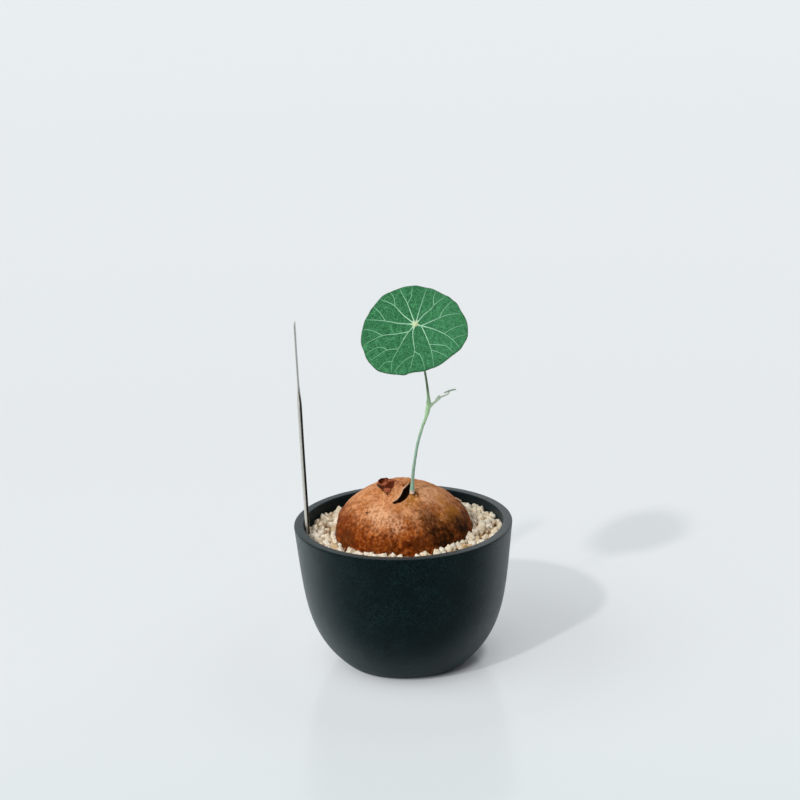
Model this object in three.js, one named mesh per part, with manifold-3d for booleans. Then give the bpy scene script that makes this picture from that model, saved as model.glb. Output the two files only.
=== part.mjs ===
// A young caudex climber in a bowl-shaped pot: a corky tuber half sunk in a bed of pale grit, one slender
// stem with a round leaf held from beneath its middle, a side shoot, and a flattened metal plant marker.
import * as THREE from "three";
import { mergeVertices } from "three/addons/utils/BufferGeometryUtils.js";
import Module from "manifold-3d";

const wasm = await Module();
wasm.setup();

// Millimetres and degrees. The origin is the middle of the pot's foot, +Z is up and -Y is the front.
const GAP = 0.3; // left between pieces that touch

const POT = {
  height: 66.9,
  rimRadius: 50,
  footRadius: 27.4,
  flare: 0.3, // share of the widening that is a straight flare, the rest being the round belly
  belly: 4.94, // how sharply the belly turns up out of the foot
  wall: 3.5,
  lip: 4.5, // width of the flat rim
  lipDepth: 6, // how far down the rim's extra thickness fades out
  edge: 0.7, // rounding of the rim's two edges
  floor: 5.5,
  footRing: 5, // width of the ring that the pot stands on
  footEdge: 1.1,
  recess: 1.5, // depth of the hollow inside the foot ring
  drainRadius: 6,
  sides: 48,
};

const MESH = { side: 24, thickness: 1, bar: 1.6, openings: 3 };

const SOIL_TOP = 56;

const BED = {
  level: 61.7, // height of the bed at the pot's middle line
  slopeX: 0.026,
  slopeY: -0.012,
  heap: 0.35, // height of its three slow heaps
  grain: 1.85, // mean radius of a grain
  spread: 0.3, // share by which the grains' sizes vary
  pitch: 4.25, // distance between neighbours
  sunk: 0.2, // share of a grain's radius that its middle lies under the bed's surface
  seed: 41,
};

const TUBER = {
  radius: 30.9,
  widest: 63, // height of its widest girth
  crown: 24.1, // rise of the crown over the girth
  depth: 26, // buried part under the girth
  roundness: 1.97,
  shoulder: 1.3, // under 2, the shoulders fall away straighter than a ball's
  leftShoulder: 1.9, // how much fuller the left shoulder is
  lump: 0.5, // height of its slow lumps
  sides: 40,
  rows: 19,
};

const ROOTS = { count: 5, radius: 1.7, tip: 0.5, top: 41, end: 17, reach: 25, turn: 20 };

// A lifted curl of bark beside the stem: its left edge, its right edge, and how far each part stands up.
const FLAP = {
  left: [[-11.3, -1.2], [-8.9, -5.6], [-5.6, -12], [-3.9, -15.3]],
  right: [[2.6, -2.4], [1.7, -7], [-0.6, -11.4], [-3.6, -15.6]],
  tipLift: 3,
  edgeLift: 0.7,
  fold: 0.5,
  thickness: 0.9,
};

// The split between the curl and the stem, in plan, with its half width and depth.
const SPLIT = {
  path: [[-4.2, -15.8], [-1.2, -13.6], [1.2, -9.8], [2.9, -5.6], [3.6, -1.6]],
  halfWidth: 1.35,
  depth: 2.4,
};

const STEM = {
  foot: [[4.1, -9.6, 79.6], [4.3, -9.9, 82.5]],
  path: [
    [4.5, -10, 85], [5.2, -9.6, 93.6], [6.2, -9.2, 99.8], [7.6, -8.8, 106.8],
    [10, -8, 114.5], [11.7, -7.6, 118.9], [12.8, -7, 123.7], [12.9, -7, 127.6],
  ],
  radii: [
    [0, 0.9], [0.08, 1.15], [0.13, 1.05], [0.2, 0.74], [0.6, 0.62],
    [0.8, 0.72], [0.9, 1.1], [0.95, 1.05], [1, 0.72],
  ],
};

const PETIOLE_BEND = [[12.9, -7, 128], [12.3, -7.2, 134.3], [11.4, -7.7, 141], [9.9, -8.6, 151]];
const PETIOLE_RADII = [[0, 0.66], [0.2, 0.5], [0.8, 0.45], [1, 0.62]];

const SHOOT = {
  path: [
    [14.3, -7.1, 124.3], [15.9, -7.5, 125.6], [17, -8, 127], [18.2, -8.4, 127.8],
    [19.4, -8.8, 128.5], [21.1, -9.4, 129.3], [22.1, -9.8, 130.3],
  ],
  radii: [[0, 0.62], [0.2, 0.5], [0.36, 0.85], [0.46, 0.7], [0.52, 0.36], [1, 0.32]],
  scale: [[16.6, -7.7, 126.8], [17.3, -8, 128], [18.1, -8.5, 128.8]], // the bract that stands off the bud
};

const YOUNG_LEAF = {
  middle: [22.5, -10, 131.3],
  length: 5.6,
  width: 2.8,
  fold: 0.12, // rise of its two halves from the middle, per mm
  droop: 0.2, // fall of its two ends at their tips
  thickness: 0.62,
  rise: 16, // turn up to the right
  pitch: -12, // turn towards the front, here away from it
};

// The leaf's own plane is held by its hub, where the stalk joins it. It looks up and to the front.
const LEAF = {
  hub: [7.9, -11.9, 162.6],
  lean: 47, // elevation of the direction it faces
  turn: -9, // turn of that direction to the left
  radius: 22.95,
  lobes: [[1, 2.7, -114], [2, 0.6, 75], [3, 1, -26], [4, 0.4, -88], [7, 0.2, -99]], // count, height, turn
  waves: [[3, 0.45, 40], [5, 0.4, 200]], // the same for the edge's waves out of the plane
  dome: 0.7, // how far the blade rises between the hub and the edge
  droop: 1.5, // how far the edge hangs below that
  thickness: 0.7,
  sides: 48,
  rings: 5,
};

// The ribs, clockwise from the left of the top, as points in the leaf's plane: to the right of the hub
// and up from it. Three of them spring from a short arm, and side ribs start on their rib.
const RIBS = [
  [[-0.3, 0.6], [-3, 7.2], [-4.6, 11], [-6.8, 14.9], [-8.4, 17.9]],
  [[-4.4, 10.6], [-3.1, 14.4], [-3.2, 18.4]],
  [[0.2, 0.7], [1.2, 7.3], [2, 12], [3.2, 19.2]],
  [[0.5, 0.6], [3.5, 5.1], [6.2, 7.9], [8.1, 10.9], [12, 14.9]],
  [[7.5, 10], [6.8, 13.6], [7.2, 16.4]],
  [[0.6, -0.2], [2.9, -0.8]],
  [[2.7, -0.7], [7, 1.6], [13.5, 4.8], [19.5, 6.2]],
  [[10.4, 3.3], [11.5, 6.8], [13.6, 9.9]],
  [[2.7, -0.7], [7.7, -2.2], [13.3, -4.8], [17.1, -7.6], [20.3, -11.2]],
  [[13, -4.7], [16.9, -1.7], [21.7, 0.6]],
  [[16.8, -7.4], [19.4, -5.9], [21.3, -5.1]],
  [[2.7, -0.8], [4.7, -4.7], [8.2, -13.2], [9.8, -20.6]],
  [[7, -10.2], [10.6, -10.3], [14.4, -10.8], [16.8, -12.9]],
  [[8.2, -13], [10.9, -13.7], [15.6, -16]],
  [[-0.2, -0.7], [-0.7, -4.4], [0.9, -14.2], [0.4, -18], [-0.3, -23.3]],
  [[0.8, -13.9], [3.4, -15.7], [5, -18.9], [6, -22.3]],
  [[0.7, -16], [-2.7, -18.4], [-4.8, -20.9], [-6.6, -24]],
  [[-0.4, -0.6], [-3.1, -4.9], [-6.4, -13.1], [-8.5, -19.7], [-8.3, -24.6]],
  [[-6.3, -12.8], [-11.4, -13.4], [-14.9, -15.9], [-18.3, -18.4]],
  [[-11.2, -13.4], [-13.4, -12.1], [-16.2, -12.2], [-18.9, -13.7]],
  [[-8.3, -19.2], [-11.2, -19.5], [-13.5, -22.2]],
  [[-2.6, -3.9], [-8.2, -5.2], [-13.9, -6], [-22.4, -10.5]],
  [[-13.7, -6], [-19.5, -3.2], [-22.6, -2.5]],
  [[-0.6, 0], [-8, 0.4], [-12.2, 1.3], [-20.9, 2.3]],
  [[-13.4, 1.4], [-16.4, 6], [-18.8, 8.6]],
  [[-0.5, 0.4], [-5.8, 4.7], [-10.3, 9.6], [-16.4, 12.9]],
  [[-9.8, 9.2], [-10.9, 13.8], [-12.3, 16]],
];
const RIB_RADIUS = { hub: 0.75, edge: 0.55, lift: 0.12 };
const RIB_STEP = 5.8; // length of each straight piece of a rib
const HUB = { radius: 1.6, height: 0.95 };

const MARKER = {
  path: [
    [-43.7, 0.6, 52], [-43.9, 1.5, 61.5], [-44.9, 4.4, 100],
    [-45.4, 6.2, 122], [-46, 8.2, 145], [-46.3, 9.2, 159.4],
  ],
  shaft: 1.03,
  bladeHalfWidth: 5.6,
  bladeHalfThickness: 0.36,
  bladeFrom: 0.64, // share of the length where the shaft begins to flatten
  bladeFull: 0.76, // and where it is wholly flat
  tip: 0.45,
};

const GLAZE = { color: 0x1d2627, roughness: 0.42, metalness: 0 };
const NET = { color: 0x3a3d3c, roughness: 0.6, metalness: 0 };
const EARTH = { color: 0x4b3a2c, roughness: 0.95, metalness: 0 };
const GRIT = { color: 0xd3bd99, roughness: 0.85, metalness: 0 };
const CORK = { color: 0xa9693f, roughness: 0.7, metalness: 0 };
const BARK_GREEN = { color: 0x9db597, roughness: 0.55, metalness: 0 };
const BLADE_GREEN = { color: 0x35784f, roughness: 0.5, metalness: 0 };
const STEEL = { color: 0xb4ab9c, roughness: 0.25, metalness: 1 };

const radians = THREE.MathUtils.degToRad;
const lerp = THREE.MathUtils.lerp;
const smoothstep = THREE.MathUtils.smoothstep;
const vector = (p) => new THREE.Vector3(...p);
const polar = (radius, heading) =>
  [Math.cos(radians(heading)), Math.sin(radians(heading))].map((share) => radius * share);

// Seeded random numbers from 0 to 1.
function seeded(seed) {
  let state = seed;
  return () => {
    state = (state + 0x6d2b79f5) | 0;
    let t = Math.imul(state ^ (state >>> 15), 1 | state);
    t = (t + Math.imul(t ^ (t >>> 7), 61 | t)) ^ t;
    return ((t ^ (t >>> 14)) >>> 0) / 2 ** 32;
  };
}

// The value at t of a line through [share, value] pairs.
function along(pairs, t) {
  const next = Math.max(1, pairs.findIndex(([share]) => share >= t));
  const [[t0, v0], [t1, v1]] = [pairs[next - 1], pairs[next]];
  return lerp(v0, v1, (t - t0) / (t1 - t0));
}

// Closed meshes and solids

// Position and index only, with shared vertices merged and collapsed triangles dropped.
function plain(geometry) {
  const bare = geometry.clone();
  bare.deleteAttribute("normal");
  bare.deleteAttribute("uv");
  const merged = mergeVertices(bare, 1e-4);
  const kept = [];
  const index = merged.index.array;
  for (let i = 0; i < index.length; i += 3) {
    const [a, b, c] = index.slice(i, i + 3);
    if (a !== b && b !== c && c !== a) kept.push(a, b, c);
  }
  return merged.setIndex(kept);
}

function solid(geometry) {
  const closed = plain(geometry);
  return new wasm.Manifold(
    new wasm.Mesh({
      numProp: 3,
      vertProperties: new Float32Array(closed.attributes.position.array),
      triVerts: new Uint32Array(closed.index.array),
    }),
  );
}

// The largest body of a solid: its sealed hollows are filled and its loose scraps dropped.
function largest(made) {
  const bodies = made.decompose();
  return bodies.reduce((best, body) => (body.volume() > best.volume() ? body : best));
}

function mesh(name, made, material) {
  const { numProp, numVert, vertProperties, triVerts } = made.getMesh();
  const positions = new Float32Array(numVert * 3);
  for (let i = 0; i < numVert; i++) {
    positions.set(vertProperties.subarray(i * numProp, i * numProp + 3), i * 3);
  }
  const geometry = new THREE.BufferGeometry()
    .setAttribute("position", new THREE.BufferAttribute(positions, 3))
    .setIndex(new THREE.BufferAttribute(new Uint32Array(triVerts), 1));
  const finish = new THREE.MeshStandardMaterial({ ...material, flatShading: true });
  const made3d = new THREE.Mesh(geometry, finish);
  made3d.name = name;
  return made3d;
}

// Moves every vertex of a geometry by a formula.
function reshape(geometry, move) {
  const position = geometry.attributes.position;
  const p = new THREE.Vector3();
  for (let i = 0; i < position.count; i++) {
    move(p.fromBufferAttribute(position, i));
    position.setXYZ(i, p.x, p.y, p.z);
  }
  return geometry;
}

// A turned solid about the Z axis, from [radius, height] pairs.
function turned(profile, sides) {
  const points = profile.map(([r, z]) => new THREE.Vector2(r, z));
  return new THREE.LatheGeometry(points, sides).rotateX(Math.PI / 2);
}

// A closed limb laid along a smooth path. width(t) gives its half widths along and across the vector
// "across" at a share t of its length.
function limb(path, width, { steps, sides, across = [0, 1, 0] }) {
  const curve = new THREE.CatmullRomCurve3(path.map(vector), false, "centripetal");
  const profile = [[0, 0], ...Array.from({ length: steps + 1 }, (_, k) => [1, k]), [0, steps]];
  const rod = new THREE.LatheGeometry(profile.map(([r, k]) => new THREE.Vector2(r, k)), sides);
  return reshape(rod, (p) => {
    const t = Math.min(1, p.y / steps);
    const tangent = curve.getTangentAt(t);
    const first = vector(across).addScaledVector(tangent, -vector(across).dot(tangent)).normalize();
    const second = first.clone().cross(tangent);
    const [a, b] = [width(t)].flat().concat(width(t)).slice(0, 2);
    const offset = first.multiplyScalar(p.x * a).addScaledVector(second, p.z * b);
    p.copy(curve.getPointAt(t)).add(offset);
  });
}

// A closed blade of even thickness from an open sheet. Both of its faces have the sheet's triangles.
function thickened(sheet, thickness) {
  const skin = plain(sheet);
  skin.computeVertexNormals();
  const { position, normal } = skin.attributes;
  const count = position.count;
  const points = new Float32Array(count * 6);
  for (let i = 0; i < count; i++) {
    for (const [side, first] of [[0.5, 0], [-0.5, count]]) {
      const p = new THREE.Vector3().fromBufferAttribute(position, i);
      const n = new THREE.Vector3().fromBufferAttribute(normal, i);
      p.addScaledVector(n, side * thickness).toArray(points, (first + i) * 3);
    }
  }
  const index = [];
  const open = new Map();
  const top = skin.index.array;
  for (let i = 0; i < top.length; i += 3) {
    const corners = [top[i], top[i + 1], top[i + 2]];
    index.push(...corners, ...corners.map((c) => c + count).reverse());
    corners.forEach((a, k) => {
      const b = corners[(k + 1) % 3];
      if (!open.delete(`${b} ${a}`)) open.set(`${a} ${b}`, [a, b]);
    });
  }
  for (const [a, b] of open.values()) {
    index.push(b, a, a + count, b, a + count, b + count);
  }
  return new THREE.BufferGeometry()
    .setAttribute("position", new THREE.BufferAttribute(points, 3))
    .setIndex(index);
}

// Pot

function potRadius(z) {
  const t = z / POT.height;
  const swell = POT.flare * t + (1 - POT.flare) * (1 - Math.max(0, 1 - t) ** POT.belly);
  return lerp(POT.footRadius, POT.rimRadius, swell);
}

function potInnerRadius(z) {
  const slope = potRadius(z + 0.5) - potRadius(z - 0.5);
  const extra = (POT.lip - POT.wall) * smoothstep(z, POT.height - POT.lipDepth, POT.height);
  return potRadius(z) - POT.wall * Math.hypot(1, slope) - extra;
}

// Heights between two levels, closer together at the lower one, where the belly turns.
const heights = (low, high, count) =>
  Array.from({ length: count }, (_, i) => lerp(low, high, (i / (count - 1)) ** 1.7));

// The inner wall's profile between two heights, drawn in by a margin.
function innerWall(low, high, margin) {
  const lipFoot = POT.height - POT.lipDepth;
  const below = heights(low, Math.min(high, lipFoot), 5);
  const lip = high > lipFoot ? [lipFoot + 0.5 * (high - lipFoot), high] : [];
  return [...below, ...lip].map((z) => [potInnerRadius(z) - margin, z]);
}

function pot() {
  const { height, edge, footEdge, footRadius, footRing, recess, floor, drainRadius } = POT;
  const outside = heights(footEdge, height - edge, 10).map((z) => [potRadius(z), z]);
  const inside = innerWall(floor + 1.2, height - edge, 0);
  const inner = potInnerRadius(height);
  const recessRadius = footRadius - footRing;
  const profile = [
    [drainRadius, recess],
    [recessRadius - recess, recess],
    [recessRadius, 0],
    [footRadius - footEdge, 0],
    ...outside,
    [potRadius(height) - edge, height],
    [inner + edge, height],
    ...inside.reverse(),
    [potInnerRadius(floor) - 2.5, floor],
    [drainRadius, floor],
    [drainRadius, recess],
  ];
  return solid(turned(profile, POT.sides));
}

// A square of plastic net over the drain hole, its bars crossing in one layer.
function drainMesh() {
  const { side, thickness, bar, openings } = MESH;
  const level = POT.floor + GAP + thickness / 2;
  let made = null;
  for (let i = 0; i <= openings; i++) {
    const at = (side - bar) * (i / openings - 0.5);
    const lengthwise = solid(new THREE.BoxGeometry(side, bar, thickness).translate(0, at, level));
    const crosswise = solid(new THREE.BoxGeometry(bar, side, thickness).translate(at, 0, level));
    made = made ? made.add(lengthwise).add(crosswise) : lengthwise.add(crosswise);
  }
  return made;
}

// Tuber

// How far the tuber stands out of its smooth form, by heading and by share of its radius.
function tuberSwell(heading, share) {
  const { lump, leftShoulder } = TUBER;
  const lumps =
    Math.sin(2 * heading + 0.7) + 0.7 * Math.sin(3 * heading + 2 * share) +
    0.5 * Math.sin(5 * heading - 4 * share + 1) + 0.35 * Math.sin(9 * heading + 7 * share);
  const shoulder = leftShoulder * Math.max(0, -Math.cos(heading)) * 4 * share * Math.max(0, 1 - share);
  return lump * share * lumps + shoulder;
}

// Radius of the smooth tuber at a height, 0 above its crown.
function tuberRadius(z) {
  const { radius, widest, crown, depth, roundness, shoulder } = TUBER;
  if (z < widest) return radius * Math.sqrt(Math.max(0, 1 - ((widest - z) / depth) ** 2));
  return radius * Math.max(0, 1 - ((z - widest) / crown) ** roundness) ** (1 / shoulder);
}

// Height of its crown over a point in plan.
function crownHeight(x, y) {
  const { radius, widest, crown, roundness, shoulder } = TUBER;
  const out = Math.hypot(x, y);
  const smooth = Math.max(0, out - tuberSwell(Math.atan2(y, x), out / radius));
  return widest + crown * (1 - (smooth / radius) ** shoulder) ** (1 / roundness);
}

// The tuber's body, grown outwards by a margin where it cuts its place in the soil.
function tuberBody(margin = 0) {
  const { widest, crown, depth, sides, rows } = TUBER;
  const profile = Array.from({ length: rows + 1 }, (_, i) => {
    const angle = Math.PI * (i / rows);
    const z = widest - Math.cos(angle) * (angle < Math.PI / 2 ? depth : crown);
    return [tuberRadius(z), z];
  });
  return reshape(turned(profile, sides), (p) => {
    const radius = Math.hypot(p.x, p.y);
    const share = radius / TUBER.radius;
    const heading = Math.atan2(p.y, p.x);
    const grown = radius < 1e-3 ? 0 : radius + tuberSwell(heading, share) + margin;
    const raised = p.z + margin * Math.sign(p.z - widest) * (1 - share);
    p.set(grown * Math.cos(heading), grown * Math.sin(heading), raised);
  });
}

function root(number, margin = 0) {
  const { count, radius, tip, top, end, reach, turn } = ROOTS;
  const heading = (360 / count) * number + turn;
  const path = [[0.3, 0], [0.55, 0.25], [0.85, 0.6], [1, 1]].map(([out, down]) => [
    ...polar(reach * out, heading + 14 * down), lerp(top, end, down),
  ]);
  const [x, y] = polar(1, heading + 90);
  return limb(path, (t) => lerp(radius, tip, t) + margin, { steps: 5, sides: 5, across: [x, y, 0] });
}

// The lifted curl of bark.
function barkFlap() {
  const edge = (points) => new THREE.SplineCurve(points.map(([x, y]) => new THREE.Vector2(x, y)));
  const [left, right] = [edge(FLAP.left), edge(FLAP.right)];
  const sheet = new THREE.PlaneGeometry(1, 1, 6, 6).translate(0.5, -0.5, 0);
  reshape(sheet, (p) => {
    const [across, down] = [p.x, -p.y];
    const at = left.getPoint(down).lerp(right.getPoint(down), across);
    const tip = FLAP.tipLift * (1 - across) ** 3 * (1 - down) ** 1.5;
    const rim = FLAP.edgeLift * (2 * across - 1) ** 2;
    const fold = FLAP.fold * Math.sin(3 * Math.PI * across + 1.5 * down) * (1 - down);
    p.set(at.x, at.y, crownHeight(at.x, at.y) + tip + rim + fold);
  });
  return solid(thickened(sheet, FLAP.thickness));
}

function tuber() {
  const splitPath = SPLIT.path.map(([x, y]) => [x, y, crownHeight(x, y)]);
  const opening = (t) => [
    0.15 + SPLIT.halfWidth * Math.sin(Math.PI * t) ** 0.8, 0.4 + SPLIT.depth * Math.sin(Math.PI * t),
  ];
  const split = limb(splitPath, opening, { steps: 9, sides: 8, across: [-0.85, 0.5, 0] });
  let made = solid(tuberBody());
  for (let i = 0; i < ROOTS.count; i++) made = made.add(solid(root(i)));
  return largest(made.subtract(solid(split)).add(barkFlap()).subtract(stemSolid(GAP)));
}

// Soil and grit

const bedLevel = (x, y) =>
  BED.level + BED.slopeX * x + BED.slopeY * y + BED.heap * Math.sin(3 * Math.atan2(y, x) + 1);

function soil() {
  const bottom = POT.floor + GAP;
  const wall = innerWall(bottom + 1.5, SOIL_TOP, 1.5 * GAP);
  const profile = [[0, bottom], [potInnerRadius(POT.floor) - 2.9, bottom], ...wall, [0, SOIL_TOP]];
  const pocketSide = MESH.side + 2 * GAP;
  const pocket = new THREE.BoxGeometry(pocketSide, pocketSide, 2 * (MESH.thickness + GAP));
  let made = solid(turned(profile, POT.sides / 2)).subtract(solid(pocket.translate(0, 0, bottom)));
  made = made.subtract(solid(tuberBody(GAP))).subtract(markerSolid(GAP));
  for (let i = 0; i < ROOTS.count; i++) made = made.subtract(solid(root(i, GAP)));
  return largest(made);
}

// One angular grain, held inside the ring between the tuber and the pot's wall.
function grain(random, x, y) {
  const size = BED.grain * (1 + BED.spread * (2 * random() - 1));
  const stretch = [0.85, 1, 0.8].map((s) => size * (s + 0.35 * random()));
  const chip = plain(new THREE.OctahedronGeometry(1.15, 0));
  reshape(chip, (p) => p.multiplyScalar(0.8 + 0.4 * random()).multiply(vector(stretch)));
  chip.applyMatrix4(
    new THREE.Matrix4().makeRotationFromEuler(new THREE.Euler(...[6, 6, 6].map((turn) => turn * random()))),
  );
  const z = bedLevel(x, y) - BED.sunk * size;
  return reshape(chip.translate(x, y, z), (p) => {
    const radius = Math.hypot(p.x, p.y);
    const smooth = tuberRadius(p.z);
    const least = smooth + tuberSwell(Math.atan2(p.y, p.x), smooth / TUBER.radius) + 2 * GAP;
    const most = potInnerRadius(p.z) - 2 * GAP;
    const held = THREE.MathUtils.clamp(radius, least, most) / radius;
    p.set(p.x * held, p.y * held, p.z);
  });
}

function gravel() {
  const random = seeded(BED.seed);
  const low = SOIL_TOP + GAP;
  const top = BED.level;
  const outer = (z) => potInnerRadius(z) - 1.5 * GAP;
  const middle = outer(top) - 8;
  const profile = [[0, low], [outer(low), low], [outer(top), top], [middle, top], [0, top]];
  const bed = reshape(turned(profile, POT.sides), (p) => {
    if (p.z > low + 1) p.z = bedLevel(p.x, p.y);
  });
  let made = solid(bed).subtract(solid(tuberBody(GAP)));
  const { grain: size, pitch } = BED;
  for (let ring = TUBER.radius + 0.9 * size; ring < outer(top) - 0.4 * size; ring += 0.95 * pitch) {
    const count = Math.round((2 * Math.PI * ring) / pitch);
    for (let i = 0; i < count; i++) {
      const heading = (360 / count) * (i + 0.7 * random());
      const [x, y] = polar(ring + 0.5 * (random() - 0.5) * pitch, heading);
      made = made.add(solid(grain(random, x, y)));
    }
  }
  return largest(made.subtract(markerSolid(GAP)));
}

// Stem and shoots

function stemSolid(margin = 0) {
  const radius = (t) => along(STEM.radii, t) + margin;
  return solid(limb([...STEM.foot, ...STEM.path], radius, { steps: 22, sides: 8 }));
}

function petiole() {
  const end = leafPoint(0, 0, -(HUB.height + GAP));
  const path = [...PETIOLE_BEND, end.toArray()];
  return solid(limb(path, (t) => along(PETIOLE_RADII, t), { steps: 14, sides: 8 }));
}

function sideShoot() {
  const shoot = limb(SHOOT.path, (t) => along(SHOOT.radii, t), { steps: 16, sides: 8 });
  const bract = limb(SHOOT.scale, (t) => lerp(0.55, 0.3, t), { steps: 3, sides: 6 });
  return largest(solid(shoot).add(solid(bract)));
}

function youngLeaf() {
  const { middle, length, width, fold, droop, thickness, rise, pitch } = YOUNG_LEAF;
  const sheet = reshape(new THREE.RingGeometry(0, 1, 14, 2), (p) => {
    p.set((p.x * length) / 2, (p.y * width) / 2, fold * Math.abs(p.y) - droop * p.x * p.x);
  });
  const made = thickened(sheet, thickness);
  return solid(made.rotateX(radians(pitch)).rotateY(radians(-rise)).translate(...middle));
}

// Leaf

const leafFacing = new THREE.Vector3(
  Math.cos(radians(LEAF.lean)) * Math.sin(radians(LEAF.turn)),
  -Math.cos(radians(LEAF.lean)) * Math.cos(radians(LEAF.turn)),
  Math.sin(radians(LEAF.lean)),
);
const leafRight = new THREE.Vector3(0, 0, 1).cross(leafFacing).normalize();
const leafUp = leafFacing.clone().cross(leafRight);

const sumOfWaves = (waves, heading) =>
  waves.reduce((sum, [count, height, peak]) => sum + height * Math.cos(count * heading - radians(peak)), 0);

const leafEdge = (heading) => LEAF.radius + sumOfWaves(LEAF.lobes, heading);

// A point of the leaf: u and v in its own plane from the hub, and w off its middle surface.
function leafPoint(u, v, w = 0) {
  const heading = Math.atan2(v, u);
  const share = Math.hypot(u, v) / leafEdge(heading);
  const rise = LEAF.dome * share ** 2 - LEAF.droop * share ** 4;
  const wave = share ** 3 * sumOfWaves(LEAF.waves, heading);
  return vector(LEAF.hub)
    .addScaledVector(leafRight, u)
    .addScaledVector(leafUp, v)
    .addScaledVector(leafFacing, rise + wave + w);
}

function leafBlade() {
  const sheet = reshape(new THREE.RingGeometry(0, 1, LEAF.sides, LEAF.rings), (p) => {
    const edge = leafEdge(Math.atan2(p.y, p.x));
    p.copy(leafPoint(p.x * edge, p.y * edge));
  });
  return solid(thickened(sheet, LEAF.thickness));
}

// A raised rib along its route, thinner towards the edge. It is three-sided, with its ridge outwards.
function rib(route) {
  const path = route.map(([u, v]) => leafPoint(u, v, RIB_RADIUS.lift).toArray());
  const [start, end] = [route[0], route[route.length - 1]];
  const share = (t) => Math.hypot(lerp(start[0], end[0], t), lerp(start[1], end[1], t)) / LEAF.radius;
  const width = (t) => lerp(RIB_RADIUS.hub, RIB_RADIUS.edge, Math.min(1, share(t)));
  const span = vector(path[path.length - 1]).sub(vector(path[0]));
  const steps = Math.max(2, Math.round(span.length() / RIB_STEP));
  return solid(limb(path, width, { steps, sides: 3, across: span.cross(leafFacing).toArray() }));
}

// The pale cushion where the ribs and the stalk meet, on both faces of the blade.
function hubCushion() {
  const cushion = new THREE.SphereGeometry(1, 10, 6).scale(HUB.radius, HUB.radius, HUB.height);
  return solid(reshape(cushion, (p) => p.copy(leafPoint(p.x, p.y, p.z))));
}

function leaf() {
  const plate = leafBlade().add(hubCushion());
  return largest(RIBS.reduce((made, route) => made.add(rib(route)), plate));
}

// Plant marker

// A round shaft, pointed at its foot, whose upper third is beaten flat into a thin blank blade.
function markerSolid(margin = 0) {
  const { shaft, bladeHalfWidth, bladeHalfThickness, bladeFrom, bladeFull, tip } = MARKER;
  const width = (t) => {
    const flat = smoothstep(t, bladeFrom, bladeFull);
    const round = lerp(tip, shaft, Math.min(1, t / 0.06));
    return [lerp(round, bladeHalfWidth, flat) + margin, lerp(round, bladeHalfThickness, flat) + margin];
  };
  return solid(limb(MARKER.path, width, { steps: 24, sides: 8 }));
}

const plant = new THREE.Group();
plant.add(
  mesh("pot", pot(), GLAZE),
  mesh("drain_mesh", drainMesh(), NET),
  mesh("soil", soil(), EARTH),
  mesh("gravel", gravel(), GRIT),
  mesh("tuber", tuber(), CORK),
  mesh("stem", stemSolid(), BARK_GREEN),
  mesh("petiole", petiole(), BARK_GREEN),
  mesh("leaf", leaf(), BLADE_GREEN),
  mesh("side_shoot", sideShoot(), BARK_GREEN),
  mesh("young_leaf", youngLeaf(), BLADE_GREEN),
  mesh("plant_marker", markerSolid(), STEEL),
);

export default plant;
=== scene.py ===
"""A young caudex climber in a bowl-shaped pot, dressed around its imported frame."""

import math
import random

import bmesh
import bpy
from bpy.props import (
    FloatProperty,
    FloatVectorProperty,
    IntProperty,
    PointerProperty,
)
from mathutils import Matrix, Vector, noise
from mathutils.kdtree import KDTree


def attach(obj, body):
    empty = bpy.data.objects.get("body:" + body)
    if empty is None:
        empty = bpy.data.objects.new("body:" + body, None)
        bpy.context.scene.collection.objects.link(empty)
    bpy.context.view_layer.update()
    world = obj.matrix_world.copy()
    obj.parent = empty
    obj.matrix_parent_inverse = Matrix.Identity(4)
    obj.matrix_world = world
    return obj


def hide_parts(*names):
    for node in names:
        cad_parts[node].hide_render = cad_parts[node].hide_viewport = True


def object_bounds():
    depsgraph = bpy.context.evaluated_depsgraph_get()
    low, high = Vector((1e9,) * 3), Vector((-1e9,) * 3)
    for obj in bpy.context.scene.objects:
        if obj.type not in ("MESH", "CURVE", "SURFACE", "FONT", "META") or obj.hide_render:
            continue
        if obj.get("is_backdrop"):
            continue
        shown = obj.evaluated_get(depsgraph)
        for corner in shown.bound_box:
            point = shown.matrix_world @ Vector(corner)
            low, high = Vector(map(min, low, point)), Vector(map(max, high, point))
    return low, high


bl_info = {
    "name": "Potted Caudex Climber",
    "version": (1, 0, 0),
    "blender": (4, 5, 0),
    "location": "View3D > Sidebar > Plant",
    "description": "Builds a potted caudex plant piece by piece around its frame",
    "category": "Add Mesh",
}

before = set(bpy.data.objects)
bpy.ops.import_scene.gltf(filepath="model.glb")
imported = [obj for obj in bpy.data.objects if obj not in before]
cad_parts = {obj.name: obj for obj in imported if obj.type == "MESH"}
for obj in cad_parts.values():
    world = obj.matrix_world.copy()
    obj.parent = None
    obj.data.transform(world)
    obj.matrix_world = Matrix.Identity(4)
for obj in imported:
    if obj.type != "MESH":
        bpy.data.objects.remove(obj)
CAD_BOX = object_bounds()

MM = 0.001


# ---- Settings ----


def length(name, description, default):
    return FloatProperty(name=name, description=description, default=default, unit="LENGTH")


def colour(name, description, default):
    return FloatVectorProperty(
        name=name, description=description, default=(*default, 1), size=4,
        min=0, max=1, subtype="COLOR",
    )


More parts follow.
